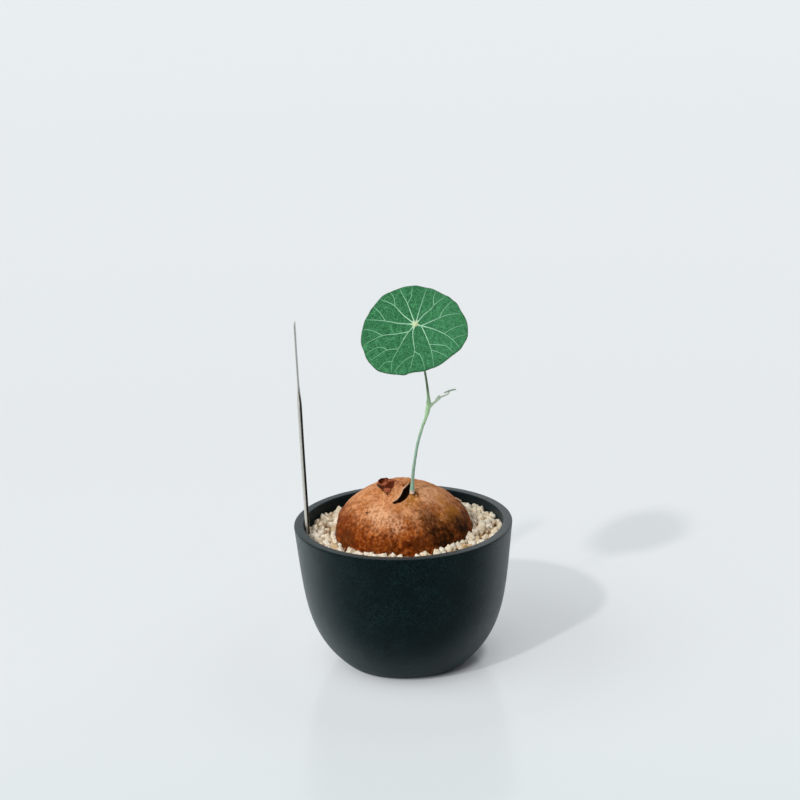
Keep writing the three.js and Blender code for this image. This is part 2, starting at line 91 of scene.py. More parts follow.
class PotSettings(bpy.types.PropertyGroup):
    height: length("Height", "Height of the rim over the foot", 66.9 * MM)
    rim_radius: length("Rim radius", "Outer radius of the rim", 50 * MM)
    foot_radius: length("Foot radius", "Outer radius of the foot ring", 27.4 * MM)
    wall: length("Wall", "Thickness of the wall", 3.5 * MM)
    lip: length("Lip", "Width of the flat rim", 4.5 * MM)
    floor: length("Floor", "Height of the inner floor", 5.5 * MM)
    edge: length("Edge rounding", "Rounding of the rim's two edges", 0.7 * MM)
    glaze: colour("Glaze", "Colour of the dark matt glaze", (0.0004, 0.0022, 0.0026))
    fleck: colour("Fleck", "Colour of the fine flecks in the glaze", (0.008, 0.023, 0.026))
    # The rim's lighter top is a painted sheen.
    rim: colour("Rim", "Lighter colour where the rim's flat top is worn", (0.075, 0.073, 0.074))
    lining: colour("Lining", "Colour of the inside of the wall", (0.003, 0.0055, 0.006))


class BedSettings(bpy.types.PropertyGroup):
    level: length("Level", "Height of the bed at the pot's middle line", 61.7 * MM)
    bottom: length("Bottom", "Height of the underside of the packed grit", 56.3 * MM)
    grain: length("Grain", "Mean radius of a grain", 1.95 * MM)
    pitch: length("Pitch", "Distance between neighbouring grains", 3.3 * MM)
    seed: IntProperty(
        name="Seed", description="Seed of the grains' places and forms", default=41,
    )
    pale: colour("Pale grain", "Colour of the palest grains", (0.92, 0.83, 0.7))
    tan: colour("Tan grain", "Colour of most grains", (0.84, 0.69, 0.5))
    ochre: colour("Ochre grain", "Colour of the darkest grains", (0.55, 0.32, 0.13))
    # The under layer's dark colour is painted shade in the gaps between the grains.
    shade: colour("Under layer", "Colour of the bed under the top grains", (0.05, 0.026, 0.01))


class TuberSettings(bpy.types.PropertyGroup):
    radius: length("Radius", "Radius at the widest girth", 30.9 * MM)
    widest: length("Widest", "Height of the widest girth", 63 * MM)
    crown: length("Crown", "Rise of the crown over the girth", 24.1 * MM)
    depth: length("Depth", "Depth of the buried part under the girth", 26 * MM)
    cork: colour("Cork", "Colour of the corky skin", (0.43, 0.12, 0.03))
    # Paler skin on top, partly painted light from above.
    worn_and_lit: colour("Worn cork", "Bleached colour of the skin on top", (0.76, 0.335, 0.15))
    amber: colour("Amber", "Colour of the wide amber clouds", (0.48, 0.155, 0.037))
    speckle: colour("Speckle", "Colour of the reddish speckles", (0.36, 0.095, 0.016))
    rust: colour("Rust", "Colour of the skin low down, beside the grit", (0.45, 0.1, 0.01))
    bloom: colour("Bloom", "Pale colour on the high points of the grain", (0.82, 0.45, 0.22))
    dark_rust: colour("Dark rust", "Colour of the skin's dark mottling", (0.11, 0.018, 0.003))
    pit: colour("Pit", "Colour of the small pits", (0.13, 0.028, 0.006))
    # Also the colour of the painted highlight on the tuber's left front.
    pale_and_highlight_patch: colour("Pale patch", "Colour of the pale patches", (0.84, 0.45, 0.25))
    rusty_patch: colour("Rusty patch", "Colour of the rusty patches", (0.19, 0.031, 0.003))
    ochre_patch: colour("Ochre patch", "Colour of the ochre patches", (0.38, 0.135, 0.014))
    brown_patch: colour("Brown patch", "Colour of the brown patches", (0.085, 0.024, 0.006))
    # Also the colour of the painted shade in the split, under the lifted bark and beside the stem.
    char: colour("Dark patch", "Colour of the dark patches and the split", (0.018, 0.007, 0.003))
    bark_dark: colour("Dark bark", "Dark streaks of the peeled bark", (0.085, 0.014, 0.004))
    bark_light: colour("Light bark", "Colour of the peeled bark", (0.36, 0.1, 0.045))
    rim: colour("Bark edge", "Pale colour of the lifted bark's edge", (0.88, 0.54, 0.36))


class StemSettings(bpy.types.PropertyGroup):
    bark: colour("Bark", "Grey-green colour of the stem", (0.3, 0.46, 0.34))
    fresh: colour("Fresh growth", "Pale green of the joint and the side shoot", (0.46, 0.68, 0.38))
    tip: colour("Tip", "Pale grey-green of the side shoot's tip", (0.72, 0.84, 0.64))
    collar: colour("Collar", "Pale colour of the stem's foot", (0.95, 0.7, 0.56))
    stalk: colour("Stalk", "Darker green of the leaf's stalk", (0.14, 0.22, 0.12))
    fleck: colour("Fleck", "Colour of the dark flecks in all green skins", (0.05, 0.08, 0.04))


class LeafSettings(bpy.types.PropertyGroup):
    radius: length("Radius", "Mean radius of the blade from the hub", 22.95 * MM)
    thickness: length("Thickness", "Thickness of the blade", 0.42 * MM)
    lean: FloatProperty(
        name="Lean", description="Elevation of the direction that the blade faces",
        default=math.radians(47), unit="ROTATION",
    )
    turn: FloatProperty(
        name="Turn", description="Turn of that direction to the left",
        default=math.radians(-9), unit="ROTATION",
    )
    green: colour("Green", "Colour of the blade", (0.003, 0.084, 0.023))
    light: colour("Light green", "Colour of the blade's lighter side", (0.034, 0.178, 0.07))
    net: colour("Net", "Colour of the fine net of veins in the blade", (0.095, 0.36, 0.15))
    vein: colour("Veins", "Colour of the veins near the hub", (0.45, 0.74, 0.53))
    faint: colour("Fine veins", "Colour of the veins near the edge", (0.23, 0.53, 0.32))
    hub: colour("Hub", "Whitish colour where the veins meet", (0.58, 0.68, 0.4))
    under: colour("Underside", "Colour of the blade's underside", (0.17, 0.3, 0.16))
    edge: colour("Edge", "Colour of the blade's thin dark edge", (0.05, 0.06, 0.045))


class MarkerSettings(bpy.types.PropertyGroup):
    shaft: length("Shaft", "Radius of the round shaft", 1.03 * MM)
    blade: length("Blade", "Half width of the flattened blade", 5.6 * MM)
    metal: colour("Metal", "Colour of the bare metal", (0.66, 0.63, 0.57))
    stain: colour("Stain", "Colour of the faint streaks in the metal", (0.3, 0.28, 0.25))
    # The black colour is painted shade on the marker's right side.
    painted_shade: colour("Black", "Colour of the blackened side", (0.02, 0.021, 0.02))


class StageSettings(bpy.types.PropertyGroup):
    floor: colour("Floor", "Colour of the pale floor", (0.6, 0.6, 0.6))
    sky: colour("Surroundings", "Colour of the light from all round", (0.93, 0.985, 1.0))
    sky_strength: FloatProperty(
        name="Surroundings", description="Strength of that light", default=0.8,
    )
    sun_strength: FloatProperty(
        name="Sun", description="Strength of the low side light", default=1.1,
    )
    lens: FloatProperty(
        name="Lens", description="Focal length of the camera in mm", default=94.15,
    )


class PlantSettings(bpy.types.PropertyGroup):
    pot: PointerProperty(type=PotSettings)
    bed: PointerProperty(type=BedSettings)
    tuber: PointerProperty(type=TuberSettings)
    stem: PointerProperty(type=StemSettings)
    leaf: PointerProperty(type=LeafSettings)
    marker: PointerProperty(type=MarkerSettings)
    stage: PointerProperty(type=StageSettings)


# ---- Curves and meshes ----


def lerp(a, b, t):
    return a + (b - a) * t


def clamp(value, low=0.0, high=1.0):
    return max(low, min(high, value))


def smoothstep(value, low, high):
    t = clamp((value - low) / (high - low))
    return t * t * (3 - 2 * t)


def along(pairs, t):
    """The value at t of a line through (share, value) pairs."""
    for (t0, v0), (t1, v1) in zip(pairs, pairs[1:]):
        if t <= t1:
            return lerp(v0, v1, (t - t0) / (t1 - t0))
    return pairs[-1][1]


def polar(radius, heading):
    return Vector((radius * math.cos(heading), radius * math.sin(heading), 0))


def in_metres(points):
    return [Vector(p) * MM for p in points]


def smooth_path(points, count):
    """count evenly spaced points on a smooth curve through the given ones."""
    ends = [points[0] * 2 - points[1], *points, points[-1] * 2 - points[-2]]
    dense = []
    for span in zip(ends, ends[1:], ends[2:], ends[3:]):
        knots = [0.0]
        for p, q in zip(span, span[1:]):
            knots.append(knots[-1] + max((q - p).length, 1e-9) ** 0.5)
        for step in range(24):
            dense.append(blended(span, knots, lerp(knots[1], knots[2], step / 24)))
    dense.append(points[-1])
    return evenly_spaced(dense, count)


def blended(level, knots, t):
    """The point at t of the smooth curve through four points with the given knots."""
    for lows, highs in (((0, 1, 2), (1, 2, 3)), ((0, 1), (2, 3)), ((1,), (2,))):
        level = [
            p.lerp(q, (t - knots[low]) / (knots[high] - knots[low]))
            for p, q, low, high in zip(level, level[1:], lows, highs)
        ]
    return level[0]


def evenly_spaced(dense, count):
    """count points at even distances along a dense path."""
    reach = [0.0]
    for p, q in zip(dense, dense[1:]):
        reach.append(reach[-1] + (q - p).length)
    path, k = [], 0
    for i in range(count):
        target = reach[-1] * i / (count - 1)
        while k < len(dense) - 2 and reach[k + 1] < target:
            k += 1
        span = max(reach[k + 1] - reach[k], 1e-12)
        path.append(dense[k].lerp(dense[k + 1], clamp((target - reach[k]) / span)))
    return path


def lathe(bm, profile, sides, closed=False):
    """A turned surface about the Z axis from (radius, height) pairs."""
    verts = [bm.verts.new((r, 0, z)) for r, z in profile]
    pairs = zip(verts, verts[1:] + verts[:1]) if closed else zip(verts, verts[1:])
    edges = [bm.edges.new(pair) for pair in pairs]
    bmesh.ops.spin(
        bm, geom=verts + edges, cent=(0, 0, 0), axis=(0, 0, 1),
        angle=math.tau, steps=sides, use_merge=True,
    )
    bmesh.ops.remove_doubles(bm, verts=bm.verts, dist=1e-7)
    bmesh.ops.recalc_face_normals(bm, faces=bm.faces)


def tube(bm, path, width, sides, across=(0, 1, 0)):
    """A closed limb along a path. width(t) gives its half widths along and square to across."""
    across, last, previous = Vector(across), len(path) - 1, None
    made = []
    for i, point in enumerate(path):
        tangent = (path[min(i + 1, last)] - path[max(i - 1, 0)]).normalized()
        first = (across - tangent * across.dot(tangent)).normalized()
        second = tangent.cross(first)
        a, b = width(i / last)
        place = Matrix((first * a, second * b, tangent)).transposed().to_4x4()
        place.translation = point
        ring = bmesh.ops.create_circle(
            bm, cap_ends=i in (0, last), segments=sides, radius=1, matrix=place,
        )["verts"]
        made += ring
        edges = list({edge for vert in ring for edge in vert.link_edges})
        if previous:
            bmesh.ops.bridge_loops(bm, edges=previous + edges)
        previous = edges
    return made


def round_ended(radius, t, reach):
    """A tube's radius with both ends rounded over a share of its length."""
    end = clamp(min(t, 1 - t) / reach)
    return radius * math.sqrt(max(0.02, 1 - (1 - end) ** 2))


def finished(bm, name, material, slot, *nodes):
    """The mesh as a smooth piece that rides on the frame and stands for its nodes."""
    bmesh.ops.recalc_face_normals(bm, faces=bm.faces)
    mesh = bpy.data.meshes.new(name)
    bm.to_mesh(mesh)
    bm.free()
    mesh.polygons.foreach_set("use_smooth", [True] * len(mesh.polygons))
    piece = bpy.data.objects.new(name, mesh)
    bpy.context.scene.collection.objects.link(piece)
    mesh.materials.append(material)
    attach(piece, "root")
    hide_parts(*nodes)
    return piece


def relief(point, size, amount):
    """A smooth random height at a point, in lumps of a given size."""
    return amount * noise.noise(point / size)


# ---- Shader helpers ----


def fill(tree, node, inputs):
    """Sets a node's inputs, or links those that are given a socket."""
    for key, value in inputs.items():
        if isinstance(value, bpy.types.NodeSocket):
            tree.links.new(value, node.inputs[key])
        else:
            node.inputs[key].default_value = value


def add(tree, kind, inputs=None, **values):
    """A node with its values set and its inputs set or linked."""
    made = tree.nodes.new(kind)
    for name, value in values.items():
        setattr(made, name, value)
    fill(tree, made, inputs or {})
    return made


def mixed(tree, factor, a, b, blend_type="MIX"):
    """Colour a mixed with colour b by a factor."""
    made = add(tree, "ShaderNodeMix", data_type="RGBA", blend_type=blend_type)
    fill(tree, made, {0: factor, 6: a, 7: b})
    return made.outputs[2]


def layered(tree, base, *layers):
    """A colour with (mask, colour) layers laid over it one by one."""
    for mask, over in layers:
        base = mixed(tree, mask, base, over)
    return base


def computed(tree, operation, a, b=0.0):
    return add(tree, "ShaderNodeMath", {0: a, 1: b}, operation=operation).outputs[0]


def product(tree, first, *factors):
    for factor in factors:
        first = computed(tree, "MULTIPLY", first, factor)
    return first


def vector_math(tree, operation, a, b, output="Vector"):
    return add(tree, "ShaderNodeVectorMath", {0: a, 1: b}, operation=operation).outputs[output]


def parts_of(tree, vector):
    """The X, Y and Z of a vector."""
    return add(tree, "ShaderNodeSeparateXYZ", {0: vector}).outputs


def attribute(tree, name):
    """A number that the mesh's points carry under a name."""
    return add(tree, "ShaderNodeAttribute", attribute_name=name).outputs["Fac"]


def colour_ramp(tree, factor, stops):
    """A colour that runs through (position, colour) stops."""
    made = add(tree, "ShaderNodeValToRGB", {0: factor})
    elements = made.color_ramp.elements
    for position, _ in stops[1:-1]:
        elements.new(position)
    for element, (position, value) in zip(elements, stops):
        element.position, element.color = position, value
    return made.outputs[0]


def ranged(tree, value, low, high, to_low=0.0, to_high=1.0, shape="SMOOTHSTEP"):
    """A value's run from low to high, as a run from to_low to to_high."""
    return add(
        tree, "ShaderNodeMapRange",
        {"Value": value, "From Min": low, "From Max": high, "To Min": to_low, "To Max": to_high},
        interpolation_type=shape,
    ).outputs[0]


def noise_mask(tree, vector, scale, low, high, detail=3.0, roughness=0.55):
    """A noise of a given scale, stretched so that low is 0 and high is 1."""
    tex = add(
        tree, "ShaderNodeTexNoise",
        {"Vector": vector, "Scale": scale, "Detail": detail, "Roughness": roughness},
    )
    return ranged(tree, tex.outputs[0], low, high)


def in_millimetres(tree, stretch=(1, 1, 1)):
    """Object coordinates in millimetres, stretched along each axis."""
    place = add(tree, "ShaderNodeTexCoord").outputs["Object"]
    scale = [part / MM for part in stretch]
    return add(tree, "ShaderNodeMapping", {"Vector": place, "Scale": scale}).outputs[0]


def new_material(name, **values):
    """A new material, its node tree and its shader, with the shader's values set by name."""
    material = bpy.data.materials.new(name)
    material.use_nodes = True
    tree = material.node_tree
    shader = tree.nodes["Principled BSDF"]
    for key, value in values.items():
        shader.inputs[key.replace("_", " ")].default_value = value
    return material, tree, shader


def drive(tree, shader, **sockets):
    """Links sockets to the shader's inputs of the same names."""
    for key, socket in sockets.items():
        tree.links.new(socket, shader.inputs[key.replace("_", " ")])


def bump(tree, shader, height, distance):
    """A bump on the shader's normal, which is also returned."""
    made = add(tree, "ShaderNodeBump", {"Height": height, "Distance": distance})
    drive(tree, shader, Normal=made.outputs[0])
    return made.outputs[0]


def new_group(name, inputs, outputs):
    """A shader node group with its sockets, and its inner input and output nodes."""
    group = bpy.data.node_groups.new(name, "ShaderNodeTree")
    for socket, kind, value in inputs:
        made = group.interface.new_socket(
            name=socket, in_out="INPUT", socket_type=f"NodeSocket{kind}",
        )
        if value is not None:
            made.default_value = value
    for socket in outputs:
        group.interface.new_socket(name=socket, in_out="OUTPUT", socket_type="NodeSocketFloat")
    return group, group.nodes.new("NodeGroupInput"), group.nodes.new("NodeGroupOutput")


def grain_group():
    """Fine organic grain: a mask of light and dark flecks, and a height."""
    group, given, result = new_group(
        "Fine Grain",
        [("Vector", "Vector", None), ("Size", "Float", 1.0), ("Contrast", "Float", 0.5)],
        ["Mask", "Height"],
    )
    scale = computed(group, "DIVIDE", 1.0, given.outputs["Size"])
    coarse = add(group, "ShaderNodeTexNoise", {
        "Vector": given.outputs["Vector"], "Scale": scale, "Detail": 4.0, "Roughness": 0.65,
    }).outputs[0]
    centred = computed(group, "SUBTRACT", coarse, 0.5)
    spread = product(group, centred, given.outputs["Contrast"], 8.0)
    mask = add(group, "ShaderNodeClamp", {"Value": computed(group, "ADD", spread, 0.5)})
    group.links.new(mask.outputs[0], result.inputs["Mask"])
    group.links.new(coarse, result.inputs["Height"])
    return group


def spot_group():
    """A soft-edged spot about a centre, with its edge broken up by a noise."""
    group, given, result = new_group(
        "Ragged Spot",
        [("Vector", "Vector", None), ("Centre", "Vector", None), ("Radius", "Float", 3.0),
         ("Ragged", "Float", 1.0)],
        ["Mask"],
    )
    place, centre, radius, ragged = list(given.outputs)[:4]
    rough = add(group, "ShaderNodeTexNoise", {
        "Vector": place, "Scale": 0.5, "Detail": 4.0, "Roughness": 0.7,
    }).outputs[0]
    shift = product(group, computed(group, "SUBTRACT", rough, 0.5), ragged, 12.0)
    edge = computed(group, "ADD", vector_math(group, "DISTANCE", place, centre, "Value"), shift)
    part = computed(group, "DIVIDE", edge, radius)
    group.links.new(ranged(group, part, 1.25, 0.45), result.inputs["Mask"])
    return group


def use_group(tree, group, **inputs):
    """The outputs of a node group with its inputs set or linked."""
    made = add(tree, "ShaderNodeGroup", node_tree=group)
    fill(tree, made, inputs)
    return made.outputs


def shared_group(name, maker):
    """The shared node group, made on its first use."""
    return bpy.data.node_groups.get(name) or maker()


def fine_grain(tree, vector, size, contrast):
    """The Mask and Height of the shared fine grain."""
    group = shared_group("Fine Grain", grain_group)
    return use_group(tree, group, Vector=vector, Size=size, Contrast=contrast)


def ragged_spot(tree, vector, centre, radius):
    """The mask of one ragged spot, its centre and radius in mm."""
    group = shared_group("Ragged Spot", spot_group)
    spot = use_group(tree, group, Vector=vector, Centre=centre, Radius=radius, Ragged=0.9)
    return spot["Mask"]


# ---- Pot ----


def pot_radius(pot, z):
    """The outer radius of the bowl at a height."""
    t = z / pot.height
    swell = 0.3 * t + 0.7 * (1 - max(0.0, 1 - t) ** 4.94)
    return lerp(pot.foot_radius, pot.rim_radius, swell)


def pot_inner_radius(pot, z):
    """The inner radius, by a wall of even thickness that widens to the flat lip."""
    slope = (pot_radius(pot, z + 0.5 * MM) - pot_radius(pot, z - 0.5 * MM)) / MM
    extra = (pot.lip - pot.wall) * smoothstep(z, pot.height - 6 * MM, pot.height)
    return pot_radius(pot, z) - pot.wall * math.hypot(1, slope) - extra


def glaze_material(pot):
    """A dark matt glaze with fine flecks, which shines only where it is seen at a low angle, and a
    painted sheen on the rim's flat top.
    """
    material, tree, shader = new_material(
        "Dark Matt Glaze", Specular_IOR_Level=0.06, Specular_Tint=(0.5, 0.95, 1, 1),
        Coat_Roughness=0.34, Sheen_Weight=0.09, Sheen_Roughness=0.45,
        Sheen_Tint=(0.7, 0.93, 1, 1),
    )
    place = in_millimetres(tree)
    across, _, height = parts_of(tree, place)
    fine = fine_grain(tree, place, 0.5, 1.0)
    broad = noise_mask(tree, place, 0.09, 0.35, 0.65)
    lining = attribute(tree, "lining")
    flecks = product(tree, ranged(tree, fine["Mask"], 0.45, 1), ranged(tree, broad, 0, 1, 0.5, 1))
    # Painted sheen on the rim's flat top, stronger towards the right.
    worn_and_lit = product(
        tree, ranged(tree, height, 66.5, 66.8), ranged(tree, across, 5, 45, 0.12, 1),
        ranged(tree, fine["Mask"], 0.1, 0.9, 0.35, 1),
    )
    # The coat fades towards the foot, on the inside and at the right edge.
    facing = add(tree, "ShaderNodeLayerWeight", {"Blend": 0.5}).outputs["Facing"]
    coat = product(
        tree, ranged(tree, facing, 0.26, 0.66, 0, 0.54), ranged(tree, height, 4, 28, 0.05, 1),
        ranged(tree, lining, 0, 1, 1, 0.1), ranged(tree, across, 43, 50, 1, 0.8),
    )
    drive(
        tree, shader, Coat_Weight=coat, Roughness=ranged(tree, fine["Mask"], 0, 1, 0.36, 0.52),
        Base_Color=layered(
            tree, pot.glaze, (flecks, pot.fleck), (worn_and_lit, pot.rim), (lining, pot.lining),
        ),
    )
    drive(tree, shader, Coat_Normal=bump(tree, shader, fine["Height"], 0.35 * MM))
    return material


def edges_at(bm, radius, height):
    """The ring of edges of a turned mesh at a radius and height."""
    def on_ring(vert):
        off = math.hypot(vert.co.to_2d().length - radius, vert.co.z - height)
        return off < 0.01 * MM

    return [edge for edge in bm.edges if all(on_ring(vert) for vert in edge.verts)]


def build_pot(pot):
    """The turned bowl with its foot ring and drain hole, rounded at the rim's two edges."""
    foot_edge, foot_ring, recess, drain = 1.1 * MM, 5 * MM, 1.5 * MM, 6 * MM
    corner_rise, corner_run = 1.2 * MM, 2.5 * MM  # of the inside, between wall and floor
    recess_radius = pot.foot_radius - foot_ring
    rows = 64
    outside = [lerp(foot_edge, pot.height, (i / rows) ** 1.7) for i in range(rows + 1)]
    inside = [
        lerp(pot.floor + corner_rise, pot.height, (i / rows) ** 1.5) for i in range(rows + 1)
    ]
    corners = [
        (pot_radius(pot, pot.height), pot.height),
        (pot_inner_radius(pot, pot.height), pot.height),
    ]
    profile = [
        (drain, recess), (recess_radius - recess, recess), (recess_radius, 0),
        (pot.foot_radius - foot_edge, 0), (pot.foot_radius - 0.35 * MM, 0.3 * MM),
        *[(pot_radius(pot, z), z) for z in outside],
        *[(pot_inner_radius(pot, z), z) for z in reversed(inside)],
        (pot_inner_radius(pot, pot.floor) - corner_run, pot.floor), (drain, pot.floor),
    ]
    bm = bmesh.new()
    lathe(bm, profile, 180, closed=True)
    sharp = [edge for corner in corners for edge in edges_at(bm, *corner)]
    bmesh.ops.bevel(
        bm, geom=sharp, offset=pot.edge, affect="EDGES", segments=5, profile=0.5, material=-1,
    )
    lining = bm.verts.layers.float.new("lining")
    for vert in bm.verts:
        into_wall = vert.co.to_2d().length - pot_inner_radius(pot, vert.co.z)
        vert[lining] = smoothstep(into_wall, 0.5 * MM, 0.1 * MM)
    return finished(bm, "pot_body", glaze_material(pot), "glaze", "pot")


# ---- Tuber ----

DOME_OUT, DOME_UP = 1.3, 1.97  # powers of the dome's curve outwards and upwards
STEM_SOCKET = Vector((4.3, -9.9)) * MM  # in plan
# Lines on the crown, in plan: the open split, the painted shadow line under the horn, and the left
# and right edges of the bark's lifted flap. The horn and the flap are described further down.
SPLIT = in_metres([
    (-3.7, -16.2, 0), (-1.2, -14.7, 0), (0.7, -12.4, 0), (2, -9.7, 0), (2.7, -7, 0), (3.7, -4.2, 0),
    (3.9, -1.6, 0),
])
HORN_SHADOW_LINE = in_metres([
    (-11.4, 2.6, 0), (-10.4, -2, 0), (-8.9, -6, 0), (-7.3, -9.1, 0), (-5.9, -11.7, 0),
])
FLAP_LEFT = in_metres([(-3.4, -1.6, 0), (-6.2, -6.8, 0), (-6.4, -11, 0), (-4.4, -15.4, 0)])
FLAP_RIGHT = in_metres([
    (3.1, -3.9, 0), (1.5, -7.3, 0), (0.4, -9.4, 0), (-0.1, -11.5, 0), (-1.1, -13.3, 0),
    (-2.4, -14.8, 0), (-4.1, -15.9, 0),
])


def tuber_swell(heading, part):
    """How far the skin stands out of the turned form, at a share of its radius."""
    lumps = (
        math.sin(2 * heading + 0.7) + 0.7 * math.sin(3 * heading + 2 * part)
        + 0.5 * math.sin(5 * heading - 4 * part + 1) + 0.35 * math.sin(9 * heading + 7 * part)
    )
    shoulder = 1.9 * max(0.0, -math.cos(heading)) * 4 * part * max(0.0, 1 - part)
    return (0.5 * part * lumps + shoulder) * MM


def tuber_radius(tuber, z):
    """The radius of the turned form: half an ellipse below and a fuller dome above."""
    if z < tuber.widest:
        return tuber.radius * math.sqrt(max(0.0, 1 - ((tuber.widest - z) / tuber.depth) ** 2))
    up = (z - tuber.widest) / tuber.crown
    return tuber.radius * max(0.0, 1 - up ** DOME_UP) ** (1 / DOME_OUT)


def crown_height(tuber, x, y):
    """The height of the tuber's lumpy skin over a point near its crown."""
    out = math.hypot(x, y)
    smooth = max(0.0, out - tuber_swell(math.atan2(y, x), out / tuber.radius))
    rise = max(0.0, 1 - (smooth / tuber.radius) ** DOME_OUT) ** (1 / DOME_UP)
    height = tuber.widest + tuber.crown * rise
    return height + skin_relief(Vector((x, y, height)))


def skin_relief(point):
    """The height of the skin's lumps at a point, in three sizes."""
    sizes = ((7, 0.45), (2.6, 0.2), (1.1, 0.08))
    return sum(relief(point, size * MM, amount * MM) for size, amount in sizes)


def beside(point, path):
    """How far a point is from a path in plan, and the share of the path where it is nearest."""
    best = (1e9, 0.0)
    for i, (a, b) in enumerate(zip(path, path[1:])):
        run = (b - a).to_2d()
        t = clamp((point.to_2d() - a.to_2d()).dot(run) / run.length_squared)
        away = (a.to_2d() + run * t - point.to_2d()).length
        best = min(best, (away, (i + t) / (len(path) - 1)))
    return best


# Bumps of the tuber's crown, the first round the stem's foot: centre in plan, radius and height,
# all in mm.
BUMPS = [((4.3, -9.9), 2.3, 0.6), ((3, 1.8), 0.8, 0.7), ((24.6, 2.9), 1.2, 0.5)]

# Patches of the tuber's skin: centre in mm, radius in mm, and strength except for the pale ones.
# The first two pale patches are a painted highlight.
PALE_AND_HIGHLIGHT_PATCHES = [
    ((-9, -22, 76.5), 6), ((-12, -18.5, 78), 5), ((-3, -25, 74), 4), ((11, -6, 83), 7),
    ((12, -11, 81), 4), ((3, 1.8, 86.8), 1),
]
RUSTY_PATCHES = [
    ((-27, -14, 69), 9, 0.9), ((-20, -22, 67), 6, 0.6), ((-8, -29, 66), 5, 0.4),
    ((5, -30, 65), 7, 0.5), ((-28, 0, 70), 7, 0.7), ((12, -16, 78), 6, 0.35),
    ((0, 24, 72), 12, 0.5), ((-14, -27, 64), 4, 0.5), ((-12.5, -11, 80.5), 3.5, 0.25),
    ((7, -15.5, 80.5), 2, 0.5),
]
OCHRE_PATCHES = [
    ((23.6, -12, 73.4), 6, 0.9), ((18, -18, 73.5), 3.5, 0.6), ((17, -8.6, 79.4), 4, 0.35),
    ((3.8, -14.3, 81.5), 3.6, 0.75), ((5.5, -11.5, 83), 2.6, 0.7),
]
BROWN_PATCHES = [
    ((13, -22, 73.5), 5.5, 0.8), ((18, -24, 67), 8, 0.85), ((24, -17, 67.5), 9, 0.9),
    ((9, -19.5, 76.5), 3.5, 0.5), ((29, -6, 69), 6, 0.8), ((8, -28, 65.5), 5, 0.6),
    ((26, 4, 73), 4, 0.5), ((-29, -6, 67), 5, 0.6), ((14, 24, 68), 9, 0.6),
    ((-6, -29.5, 64.5), 3, 0.5), ((-25, -17, 65.5), 6, 0.75), ((11, -20, 75), 5, 0.5),
    ((-13, -26.5, 63.5), 4, 0.5),
]
# The dark patch under the flake, at (24.8, 2.2), and the one beside the stem's foot, at (6, -10.4),
# are painted shadow.
DARK_AND_SHADOW_PATCHES = [
    ((14.2, -23.8, 71.2), 3, 0.9), ((26.5, -13.7, 68), 6, 0.92), ((21, -22, 65), 5.5, 0.92),
    ((16, -25.5, 66), 3.5, 0.7), ((24.8, 2.2, 75), 1.5, 0.9), ((-15.2, -16, 77.3), 0.75, 0.9),
    ((6, -10.4, 82.9), 1.7, 0.9), ((-3, -30, 64), 2, 0.6), ((2, -29.8, 66), 1.5, 0.6),
    ((20, -21, 69.5), 2.5, 0.6),
]


